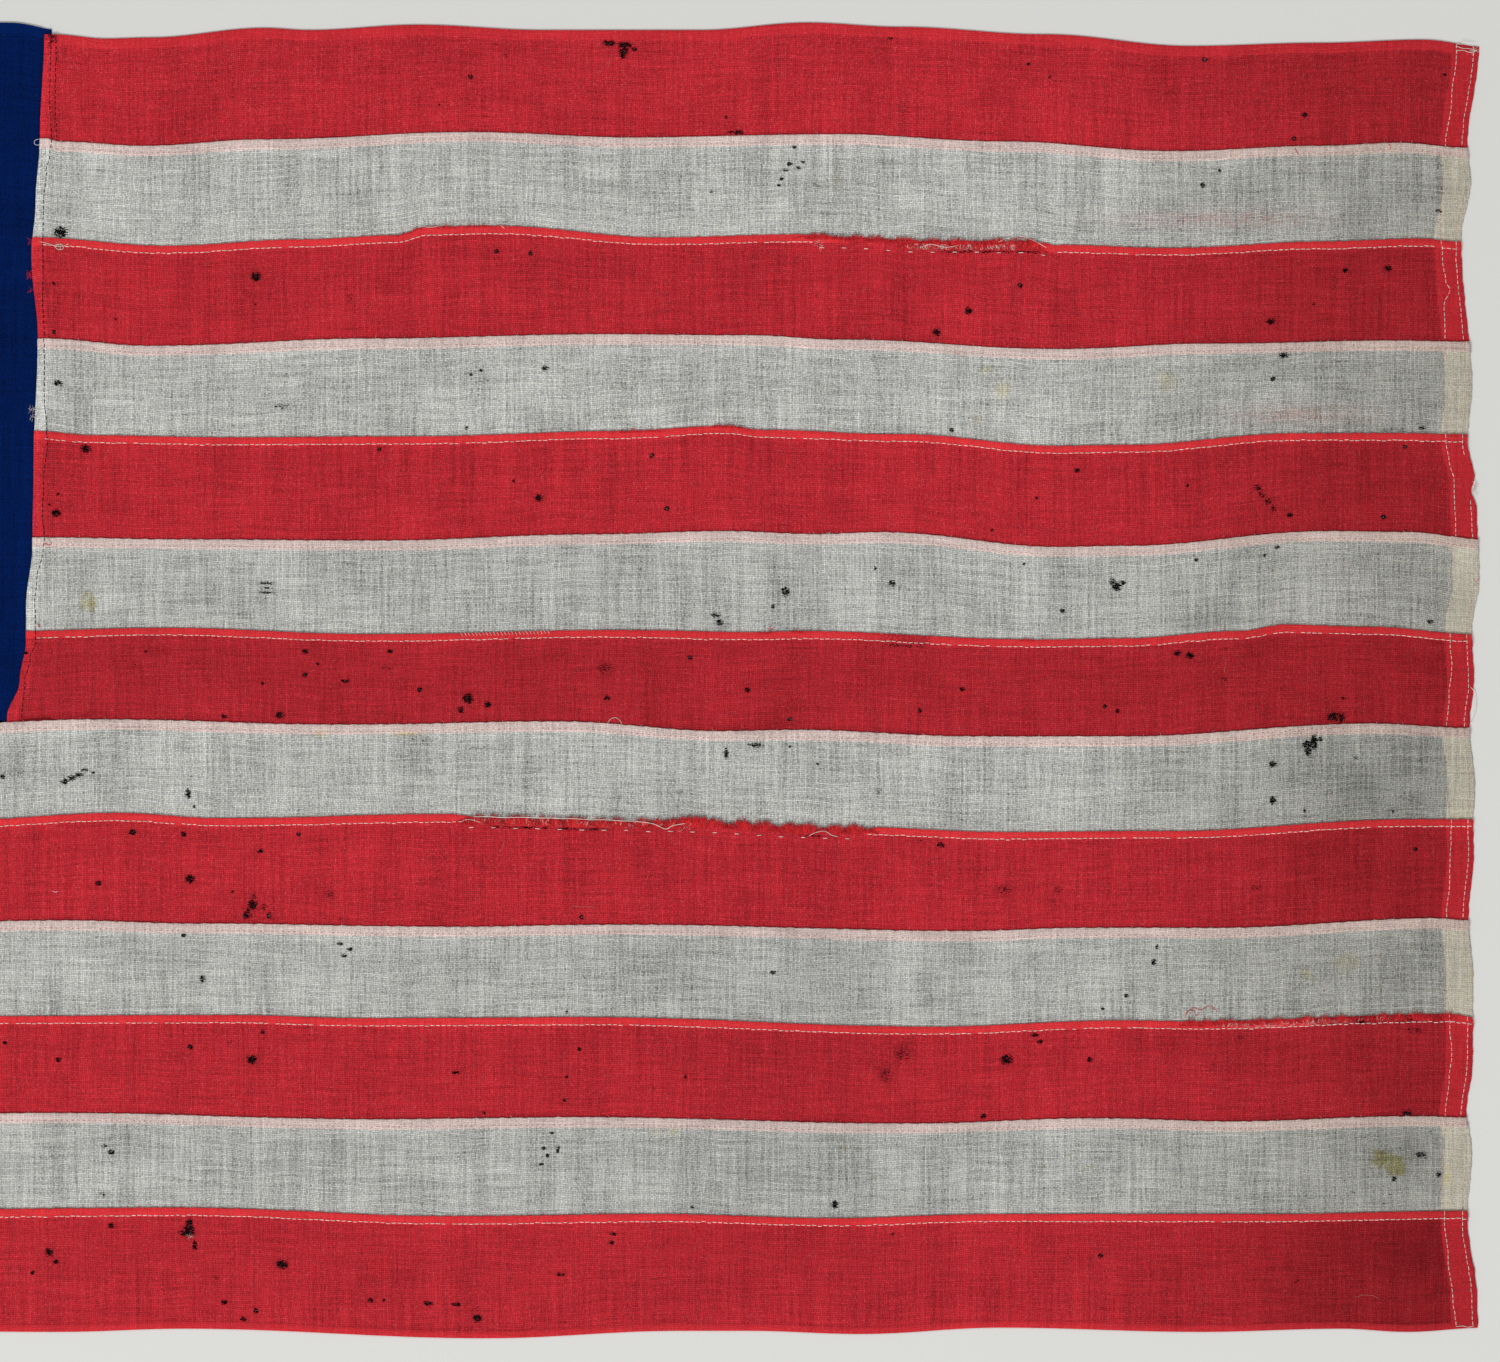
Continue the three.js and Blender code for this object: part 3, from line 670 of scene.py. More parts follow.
def bare_fold(stripe, a, s):
    """Where the pale inside of a torn fold shows."""
    bare = np.zeros_like(a)
    for start, end, near, far, strength in of_fold(BARE_FOLDS, stripe.number):
        run = between(a, start, end, 6)
        bare = np.maximum(bare, strength * run * between(s, near - 0.5, far + 0.5, 0.5))
    return bare


def make_stripe(stripe, name, material):
    number = stripe.number
    rng = np.random.default_rng(CUT_SEED + number)
    holes = stripe.flat_marks(HOLES[number])
    spots = stripe.flat_marks(THIN.get(number, []))
    points, triangles = cut_cloth(stripe.columns(), stripe.rows(), holes, spots, rng)
    a, s = points[:, 0], points[:, 1]
    x, y = stripe.to_flag(a, s)
    low, high = stripe.heights(a, s)
    near_canton, near_fly = TONE[number]
    fly_side = smooth(x, 340, 560)
    tone = near_canton + (near_fly - near_canton) * fly_side
    if number >= FIRST_GRIMY:
        tone = tone * (1 - 0.22 * blot(x, y, GRIME))
    if stripe.short:
        tone = tone * (1 + 0.22 * (a < CANTON_X + LAP + 0.3))
    hem = smooth(a, FLY_END - 0.6, FLY_END + 0.2)
    if stripe.first:
        hem = np.maximum(hem, s < FOLD + 0.1)
    if stripe.last:
        hem = np.maximum(hem, s > stripe.depth - BOTTOM_HEM - 0.1)
    values = {
        "weave": np.column_stack([x, s, np.full_like(a, WEAVE_SEED * number)]),
        "band": seam_band(stripe, a, s),
        "hem": hem,
        "dark": darkness(stripe, a, s, holes, spots),
        "tone": tone,
        "bare": bare_fold(stripe, a, s),
    }
    if stripe.white:
        border = 0.1 * np.exp(-((s - 4.4) / 0.7) ** 2) * (0.5 + 0.5 * ripple(a / 9, number))
        aged = 0.04 + 0.18 * fly_side
        values["yellow"] = np.maximum.reduce([blot(x, y, YELLOW), border, aged])
        values["olive"] = blot(x, y, OLIVE)
        values["pink"] = blot(x, y, PINK)
    flip = triangles[:, ::-1]      # s runs down, so the flat cut is mirrored
    item = closed_sheet(name + "_cloth", x, y, low, high, flip, material, values)
    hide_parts(name)
    return item, holes


# ---- Canton and heading -------------------------------------------------------------

CANTON_BOTTOM = LINES[CANTON_STRIPES]
CANTON_DEPTH = CANTON_TOP[0] - CANTON_BOTTOM[0] + LAP


def canton_place(a, s):
    top = line_y(CANTON_TOP, a)
    bottom = line_y(CANTON_BOTTOM, a) - LAP
    y = top - s * (top - bottom) / CANTON_DEPTH
    return a + wave(CANTON_WAVE, y) * smooth(a, -190, CANTON_X - 8), y


def canton_heights(a, s):
    inner = (smooth(a, FLAG_END_X + 10, FLAG_END_X + 60) * fade(a, -165, CANTON_X - 5)
             * smooth(s, EDGE_HEM + 2, 50)
             * fade(s, CANTON_DEPTH - 45, CANTON_DEPTH - LAP - 3))
    rolls = 0.55 + 0.25 * ripple((a + 0.4 * s) * TAU / 190, 1.0) + 0.2 * ripple(s * TAU / 83, 5.0)
    low = TABLE_GAP + inner * 2.2 * np.clip(rolls, 0.05, 1.3)
    near_seam = smooth(s, CANTON_DEPTH - 22, CANTON_DEPTH - LAP)
    low = low + PUCKER * pucker(a, CANTON_STRIPES) * near_seam
    hem = (s < EDGE_HEM + 0.1) & (a < CANTON_X - 0.8)
    return low, low + np.where(hem, DOUBLE, SHEET)


def make_canton(material):
    columns = np.concatenate([np.arange(FLAG_END_X, CANTON_X - 9, 3.4),
                              CANTON_X + np.array([-8, -6, -4, -2.5, -1.2, -0.6, 0, 1.5, 3.4])])
    rows = np.concatenate([[0, 0.4, 1.2, 3, 4.4, 5.1, 6.5],
                           np.linspace(10, CANTON_DEPTH - 12, 88),
                           CANTON_DEPTH - np.array([9, 6.5, 5, 3.5, 1.8, 0])])
    points, triangles = cut_cloth(columns, rows, [], [], None)
    a, s = points[:, 0], points[:, 1]
    x, y = canton_place(a, s)
    low, high = canton_heights(a, s)
    edge = fade(a, FLAG_END_X + 10, FLAG_END_X + 60)
    values = {
        "weave": np.column_stack([x, s, np.zeros_like(a)]),
        "hem": (s < EDGE_HEM + 0.1).astype(float),
        # painted shade in the crease just above stripe 8's fold
        "dark": 0.3 * smooth(s, CANTON_DEPTH - LAP - 2.4, CANTON_DEPTH - LAP - 0.6),
        "tone": 1 - 0.12 * edge,
    }
    item = closed_sheet("canton_cloth", x, y, low, high, triangles[:, ::-1], material, values)
    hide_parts("canton")
    return item


FLAG_TOP = float(line_y(CANTON_TOP, FLAG_END_X))
FLAG_BOTTOM = float(line_y(LINES[STRIPES], FLAG_END_X))


def under_heading(y):
    """How high the canvas lip lies, over the flag's cloth, hems and seams."""
    level = TABLE_GAP + SHEET + REST + np.zeros_like(y)
    hem_rise = DOUBLE - SHEET
    level += hem_rise * smooth(y, FLAG_TOP - EDGE_HEM - 3.5, FLAG_TOP - EDGE_HEM - 0.3)
    level += hem_rise * fade(y, FLAG_BOTTOM + BOTTOM_HEM + 0.3,
                             FLAG_BOTTOM + BOTTOM_HEM + 3.5)
    for number in range(CANTON_STRIPES, STRIPES):
        seam = float(line_y(LINES[number], FLAG_END_X))
        over = smooth(y, seam - LAP - 5, seam - LAP - 1) * fade(y, seam + 0.8, seam + 4.5)
        level += over * (DOUBLE + REST + 0.22)
    return level


HEADING_SEAMS = (-543.4, -535.2)      # where its two rows of stitches run


def heading_sway(y):
    return 0.5 * ripple(y * TAU / 170, 1.0)


def make_heading(material):
    top, bottom = FLAG_TOP + 1, FLAG_BOTTOM - 1
    outer, inner = HEADING_X
    columns = np.concatenate([outer + np.array([0, 0.4, 1.2, 3.4, 6.2, 9, 11.6, 13.2]),
                              [-545.4, -544.9, -543, -540, -537, -534.6, -533.5, inner]])
    rows = np.concatenate([[0, 0.4, 1.1], np.arange(2.4, top - bottom - 2, 1.9),
                           top - bottom - np.array([1.1, 0.4, 0])])
    points, triangles = cut_cloth(columns, rows, [], [], None)
    a, s = points[:, 0], points[:, 1]
    y = top - s
    x = a + heading_sway(y) + 0.12 * ripple(y * TAU / 9, 2.0)
    over = under_heading(y)
    low = np.where(a < -545.15, TABLE_GAP, over)
    gather = 0.18 * ripple(y * TAU / 14, 6.0) + 0.12 * ripple((y + 2 * a) * TAU / 31, 3.0)
    high = over + HEADING_THICK + np.clip(gather, -0.3, 0.3)
    side = fade(a, outer, outer + 1.3) + smooth(a, inner - 1.3, inner)
    high = high - 0.4 * side - 0.3 * (fade(s, 0, 1) + smooth(s, top - bottom - 1, top - bottom))
    left, right = HEADING_SEAMS
    seam = np.exp(-((a - left) / 0.7) ** 2) + np.exp(-((a - right) / 0.6) ** 2)
    high = high - 0.12 * seam
    values = {
        "weave": np.column_stack([x, s, np.full_like(a, HEADING_SEED)]),
        # painted shade along the outer edge, where the canvas rounds away
        "dark": 0.10 * fade(a, outer, outer + 2),
        "tone": np.ones_like(a),
        "yellow": 0.5 + 0.4 * ripple(y / 21, 2.0),
    }
    item = closed_sheet("heading_cloth", x, y, low, high, triangles[:, ::-1], material, values)
    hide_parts("heading")
    return item


# ---- Threads: stitches, frays and loose ends ----------------------------------------

class Threads:
    """Thin round threads of one colour, joined in one mesh."""

    def __init__(self):
        self.points = []
        self.faces = []
        self.tones = []
        self.count = 0

    def add(self, path, radius, tone=1.0, sides=4):
        """A thread along the path, thinner at its ends. tone is how light it is."""
        path = np.asarray(path, float)
        steps = len(path)
        along = np.gradient(path, axis=0)
        along /= np.linalg.norm(along, axis=1)[:, None] + 1e-9
        side = np.cross(along, [0, 0, 1])
        length = np.linalg.norm(side, axis=1)[:, None]
        side = np.where(length > 0.05, side / np.maximum(length, 1e-9), [1.0, 0.0, 0.0])
        up = np.cross(side, along)
        size = np.full(steps, radius)
        size[0] *= 0.45
        size[-1] *= 0.45
        for corner in range(sides):
            angle = TAU * (corner + 0.5) / sides
            ring = path + size[:, None] * (math.cos(angle) * side + math.sin(angle) * up)
            self.points.append(ring)
        start = self.count
        for corner in range(sides):
            here = start + corner * steps
            there = start + (corner + 1) % sides * steps
            for i in range(steps - 1):
                self.faces.append((here + i, here + i + 1, there + i + 1, there + i))
        self.faces.append(tuple(start + corner * steps for corner in range(sides)))
        last = steps - 1
        self.faces.append(tuple(start + corner * steps + last for corner in range(sides))[::-1])
        self.tones.append(np.full(steps * sides, tone))
        self.count += steps * sides

    def lay(self, x, y, z, radius, tone):
        self.add(np.column_stack([x, y, z]), radius, tone)

    def build(self, name, material, slot):
        if not self.points:
            return None
        item = new_object(name, np.vstack(self.points), self.faces, material)
        add_values(item, "tone", np.concatenate(self.tones))
        return item


STITCH = 2.6              # from one machine stitch to the next
STITCH_DOWN = 3.5         # the row's distance below the fold
STITCH_LOST = 0.025       # the share of stitches that are gone
STITCH_ALONG = np.array([-0.5, -0.26, 0.26, 0.5])      # a stitch's points, in its lengths
STITCH_RISE = np.array([-1.1, 0.5, 0.5, -1.1])         # and their heights, in its radii


def stitch_row(threads, stripe, starts, s, length, radius, rng, tone=1.0, wobble=0.12):
    """Machine stitches that follow a stripe's fold, s below its edge."""
    offsets = STITCH_ALONG * length
    for a in starts:
        places = a + offsets * rng.uniform(0.85, 1.1)
        down = np.full(4, s + rng.normal(0, wobble)) + offsets * rng.normal(0, 0.05)
        x, y = stripe.to_flag(places, down)
        top = stripe.heights(places, down)[1]
        shade = tone * rng.uniform(0.82, 1.1)
        threads.lay(x, y, top + STITCH_RISE * radius, radius, shade)


def smooth_path(points, steps=6):
    """A flowing curve through the points."""
    points = np.asarray(points, float)
    ends = np.vstack([2 * points[0] - points[1], points, 2 * points[-1] - points[-2]])
    path = []
    for p0, p1, p2, p3 in zip(ends, ends[1:], ends[2:], ends[3:]):
        for t in np.arange(steps) / steps:
            path.append(0.5 * (2 * p1 + (p2 - p0) * t + (2 * p0 - 5 * p1 + 4 * p2 - p3) * t * t
                               + (3 * p1 - p0 - 3 * p2 + p3) * t ** 3))
    path.append(points[-1])
    return np.array(path)


def wisp(x, y, z, angle, length, curl, rng, steps=5):
    """A short bent fibre that starts at a point and lies nearly level."""
    turn = rng.normal(0, curl)
    path = [(x, y, z)]
    for _ in range(steps):
        angle += turn / steps + rng.normal(0, 0.18)
        x += math.cos(angle) * length / steps
        y += math.sin(angle) * length / steps
        z += rng.uniform(-0.02, 0.07) * length / steps
        path.append((x, y, z))
    return np.array(path)


def stripe_at(x, y, stripes):
    """The stripe whose open cloth or fold shows at a place on the flag."""
    for stripe in stripes:
        _, s = stripe.to_flat(x, y)
        if 0 <= s <= stripe.depth:
            return stripe
    return stripes[-1]


def cloth_top(x, y, stripes):
    stripe = stripe_at(x, y, stripes)
    a, s = stripe.to_flat(x, y)
    return float(stripe.heights(np.array([a]), np.array([s]))[1][0])


def laid_thread(threads, places, radius, stripes, tone=1.0, lift=0.25):
    """A loose thread that lies on the flag through given places (x, y)."""
    flat = smooth_path([(x, y, 0) for x, y in places])
    heights = np.array([cloth_top(x, y, stripes) for x, y, _ in flat])
    flat[:, 2] = heights + lift
    threads.add(flat, radius, tone, sides=5)


# Stitches on the fly hem and along the canton: (y, place in x) at each bend.
HEM_STITCH_X = 545.0
FLY_STITCH_X = FLY_X - 2.6
HEM_STITCH_LENGTH = 2.35
STITCHES_GONE = [(85, 106)]      # from y to y, where the fly edge is torn
HEM_STITCH = [(-303, 3), (-291, 1.6), (-272, -0.6), (-253, -2.5), (-230, -3.6), (-203, -1.9),
              (-188, -0.3), (-173, 1.1), (-164, 0.1), (-136, -2.1), (-110, -1.4), (-94, 0),
              (-68, 0.7), (-47, -1.7), (-21, -1.4), (-9, -0.3), (8, 1.1), (17, 0.2),
              (38, -0.3), (62, 1.5), (69, 2.9), (94, 2.1), (104, -0.3), (113, -1.9),
              (137, -3.1), (163, -2.1), (177, -2.6), (184, 0.1), (188, -1.9), (198, -3.3),
              (212, -4.5), (245, -2.6), (252, -1.9), (273, 0.9), (296, 3.3)]
CANTON_STITCH = [(-16, -6), (0, -4.5), (10, -2.2), (19, 0.6), (38, 0.2), (47, 1.1), (62, 3.9),
                 (66, 4.7), (80, 3.7), (94, 4.3), (113, 6), (120, 5.6), (132, 4.7),
                 (161, 4.7), (179, 3.9), (210, 3.9), (226, 4.3), (240, 5.6), (247, 7.2),
                 (254, 7.9), (273, 7.2), (301, 7.7)]


def down_stitches(threads, stripe, x_at, radius, length, rng, skip=()):
    """Machine stitches across a stripe, at x_at(y), from its fold to the next one."""
    middle = float(x_at((stripe.top[0] + stripe.bottom[0]) / 2))
    y = float(line_y(stripe.top, middle)) - 0.9
    end = float(line_y(stripe.bottom, middle)) + 0.6
    while y > end:
        if not any(low < y < high for low, high in skip):
            ys = y + STITCH_ALONG * length
            xs = x_at(ys) + rng.normal(0, 0.08)
            a, s = stripe.to_flat(xs, ys)
            tops = stripe.heights(a, np.maximum(s, 0.5))[1]
            shade = rng.uniform(0.82, 1.1)
            threads.lay(xs, ys, tops + STITCH_RISE * radius, radius, shade)
        y -= STITCH


def make_stitches(stripe, rng):
    """The white or pinkish stitches of one stripe: its seam and its fly hem."""
    threads = Threads()
    red = not stripe.white
    worn = of_fold(WORN_FOLDS, stripe.number)
    if not stripe.first:
        first = stripe.start + (6 if stripe.short else 14)
        for a in np.arange(first, FLY_X - 1.5, STITCH):
            in_wear = any(start < a < end for start, end, _ in worn)
            if in_wear and int(a / STITCH) % 4 or rng.random() < STITCH_LOST:
                continue
            if red:
                down = STITCH_DOWN + (2.3 if in_wear else 0)
                stitch_row(threads, stripe, [a], down, 2.6 if in_wear else 2.4, 0.19, rng, 1.12)
            else:
                stitch_row(threads, stripe, [a], STITCH_DOWN, 1.1, 0.13, rng, 0.9)
    size = 0.16 if red else 0.11
    down_stitches(threads, stripe, lambda y: HEM_STITCH_X + wave(HEM_STITCH, y), size,
                  HEM_STITCH_LENGTH, rng)
    down_stitches(threads, stripe, lambda y: FLY_STITCH_X + wave(FLY_WAVE, y), size,
                  HEM_STITCH_LENGTH, rng, skip=STITCHES_GONE)
    add_fringes(threads, stripe, True, rng)
    return threads


def make_frays(stripe, holes, rng):
    """Fibres of a stripe's own cloth: across its holes, along its fold, where it is worn."""
    threads = Threads()
    for hole in holes:
        a0, s0, width, height = hole[:4]
        if max(width, height) < 2.4:
            continue
        for _ in range(2 + int(max(width, height) > 4) * 2):
            level = s0 + rng.uniform(-0.28, 0.28) * height
            reach = width * 0.5
            a = a0 + np.array([-1, -0.3, 0.35, 1]) * reach
            s = level + rng.normal(0, 0.12, 4)
            x, y = stripe.to_flag(a, s)
            low, high = stripe.heights(a, s)
            # these fibres are darkened, as painted shade of the hole they cross
            threads.lay(x, y, (low + high) / 2, 0.1, rng.uniform(0.35, 0.8))
    if not stripe.first:
        for a in np.arange(stripe.start + 8, FLY_X - 2, 7.5) + rng.uniform(-3, 3):
            a = a + rng.uniform(-3.5, 3.5)
            x, y = stripe.to_flag(np.array([a]), np.array([0.4]))
            z = stripe.heights(np.array([a]), np.array([0.4]))[1][0] - 0.1
            threads.add(wisp(x[0], y[0], z, rng.uniform(0.3, 2.8), rng.uniform(0.7, 2.0),
                             0.9, rng), 0.07, rng.uniform(0.7, 1.1), sides=3)
    add_fringes(threads, stripe, False, rng)
    return threads


# Where a fold is frayed: the seam's line, from x to x, the fibres' spacing and length, how
# far down the fold they start, their thickness, how far apart their tufts are, and
# whether they are the pale fibres inside the seam.
Fray = namedtuple("Fray", "line start end spacing length foot thick clump white",
                  defaults=(1.0, 9, False))
FRAYS = [
    Fray(2, 243, 352, 0.2, 3.6, 2.4, 1.2, 13),
    Fray(2, 286, 356, 0.2, 3.2, 4.8, 1.1, 7),
    Fray(2, 288, 343, 0.5, 2.0, 4.4, 0.8, 8, white=True),
    Fray(2, 50, 100, 0.7, 2.0, 0.8),
    Fray(4, 155, 174, 0.3, 2.2, 1),
    Fray(4, 198, 216, 0.3, 2.2, 1),
    Fray(5, 247, 258, 1.2, 2.2, 1),
    Fray(6, 220, 226, 0.3, 2.4, 1),
    Fray(6, 236, 242, 0.3, 2.4, 1),
    Fray(6, 343, 350, 0.3, 2.6, 1),
    Fray(8, 78, 186, 0.1, 5.0, 4.5, 1.15, 9.5),
    Fray(8, 176, 240, 0.11, 5.2, 3.6, 1.35, 17),
    Fray(8, 232, 277, 0.13, 4.6, 3.2, 1.3, 11),
    Fray(8, 84, 186, 0.8, 3.2, 3.6, 0.7, 9.5, white=True),
    Fray(10, 418, 547, 0.17, 3.9, 2.4, 0.95, 11),
    Fray(10, 436, 520, 1.3, 2.2, 2.4, 0.7, 15, white=True),
]


def add_fringes(threads, stripe, white, rng):
    """Tufts of broken fibres that stand up from a worn fold, each spread like a fan."""
    for fray in FRAYS:
        if fray.line != stripe.number - 1 or fray.white != white:
            continue
        a = fray.start
        while a < fray.end:
            phase = a * TAU / fray.clump
            phase = phase + 1.5 * math.sin(0.37 * phase + fray.line) + math.sin(0.23 * phase)
            clump = 0.5 + 0.5 * math.sin(phase)
            ends = min(1.0, (a - fray.start + 2) / 6, (fray.end - a + 2) / 6)
            length = fray.length * (0.62 + 0.38 * clump) * rng.uniform(0.7, 1.12)
            length = length * max(ends, 0.4)
            s = np.array([fray.foot + rng.uniform(-0.4, 0.4)])
            x, y = stripe.to_flag(np.array([a]), s)
            both = np.array([s[0], min(s[0], 2.0)])
            z = float(stripe.heights(np.array([a, a]), both)[1].max()) + rng.uniform(-0.05, 0.25)
            angle = math.pi / 2 + 0.4 * math.cos(phase) + rng.normal(0, 0.16)
            threads.add(wisp(x[0], y[0], z, angle, length, 0.3, rng),
                        rng.uniform(0.07, 0.15) * fray.thick,
                        rng.uniform(0.72, 1.2) * (0.8 + 0.3 * clump), sides=3)
            a += fray.spacing * rng.uniform(0.3, 1.7) * (2.2 - 1.7 * clump)


# ---- Materials ----------------------------------------------------------------------

def from_screen(*levels):
    """A colour given as screen levels from 0 to 255, as linear light."""
    return tuple((c / 255 / 12.92 if c <= 10 else ((c / 255 + 0.055) / 1.055) ** 2.4)
                 for c in levels) + (1.0,)


DRIFT = 2.4               # how far the threads wander, in mm
YELLOW_TINT = (0.96, 0.88, 0.60, 1.0)
OLIVE_TINT = (0.76, 0.71, 0.42, 1.0)
PINK_TINT = (1.0, 0.80, 0.80, 1.0)
# near black, for painted shade around holes, in thin spots, creases and partings
SHADE_BLACK = from_screen(3, 3, 6)
INSIDE_FOLD = from_screen(226, 190, 186)
PALE_CANVAS = from_screen(203, 195, 174)


class Graph:
    """A material's nodes. Each call adds one node and returns its output."""

    def __init__(self, name):
        self.material = bpy.data.materials.new(name)
        self.material.use_nodes = True
        self.tree = self.material.node_tree
        self.tree.nodes.clear()

    def add(self, kind):
        return self.tree.nodes.new("ShaderNode" + kind)

    def connect(self, socket, value):
        if isinstance(value, bpy.types.NodeSocket):
            self.tree.links.new(value, socket)
        elif socket.type == "VECTOR":
            socket.default_value = value[:3]
        else:
            socket.default_value = value

    def attribute(self, name, output="Fac"):
        node = self.add("Attribute")
        node.attribute_name = name
        return node.outputs[output]

    def math(self, operation, *values, clamp=False):
        node = self.add("Math")
        node.operation = operation
        node.use_clamp = clamp
        for socket, value in zip(node.inputs, values):
            self.connect(socket, value)
        return node.outputs[0]

    def times(self, first, second):
        return self.math("MULTIPLY", first, second)

    def times_add(self, value, amount, added):
        return self.math("MULTIPLY_ADD", value, amount, added)

    def vary(self, value, strength, level):
        """The level, raised or lowered as an even value from 0 to 1 lies above or below half."""
        return self.times_add(self.math("SUBTRACT", value, 0.5), strength, level)

    def scale(self, vector, amount):
        node = self.add("VectorMath")
        node.operation = "SCALE"
        self.connect(node.inputs[0], vector)
        self.connect(node.inputs["Scale"], amount)
        return node.outputs[0]

    def split(self, vector):
        node = self.add("SeparateXYZ")
        self.connect(node.inputs[0], vector)
        return node.outputs

    def join(self, x, y, z):
        node = self.add("CombineXYZ")
        for socket, value in zip(node.inputs, (x, y, z)):
            self.connect(socket, value)
        return node.outputs[0]

    def noise(self, place, stretch=(1, 1), detail=1.0):
        """Flat noise over the first two numbers of place, stretched along each."""
        node = self.add("TexNoise")
        node.noise_dimensions = "2D"
        node.inputs["Scale"].default_value = 1
        node.inputs["Detail"].default_value = detail
        sized = self.add("VectorMath")
        sized.operation = "MULTIPLY"
        self.connect(sized.inputs[0], place)
        self.connect(sized.inputs[1], (1 / stretch[0], 1 / stretch[1], 0))
        self.connect(node.inputs["Vector"], sized.outputs[0])
        return node.outputs["Fac"]

    def speckle(self, place):
        node = self.add("TexWhiteNoise")
        self.connect(node.inputs["Vector"], place)
        return node.outputs["Value"]

    def ramp(self, value, start, end):
        node = self.add("MapRange")
        node.interpolation_type = "SMOOTHSTEP"
        self.connect(node.inputs["Value"], value)
        node.inputs["From Min"].default_value = start
        node.inputs["From Max"].default_value = end
        return node.outputs[0]

    def mix(self, share, first, second, blend="MIX"):
        node = self.add("Mix")
        node.data_type = "RGBA"
        node.blend_type = blend
        self.connect(node.inputs["Factor"], share)
        self.connect(node.inputs["A"], first)
        self.connect(node.inputs["B"], second)
        return node.outputs["Result"]

    def finish(self, colour, height=None, bump=0.3, depth=0.0002, roughness=0.95):
        shader = self.add("BsdfPrincipled")
        self.connect(shader.inputs["Base Color"], colour)
        self.connect(shader.inputs["Roughness"], roughness)
        shader.inputs["Specular IOR Level"].default_value = 0.05
        if height is not None:
            relief = self.add("Bump")
            relief.inputs["Strength"].default_value = bump
            relief.inputs["Distance"].default_value = depth
            self.connect(relief.inputs["Height"], height)
            self.tree.links.new(relief.outputs[0], shader.inputs["Normal"])
        output = self.add("OutputMaterial")
        self.tree.links.new(shader.outputs[0], output.inputs[0])
        return self.material


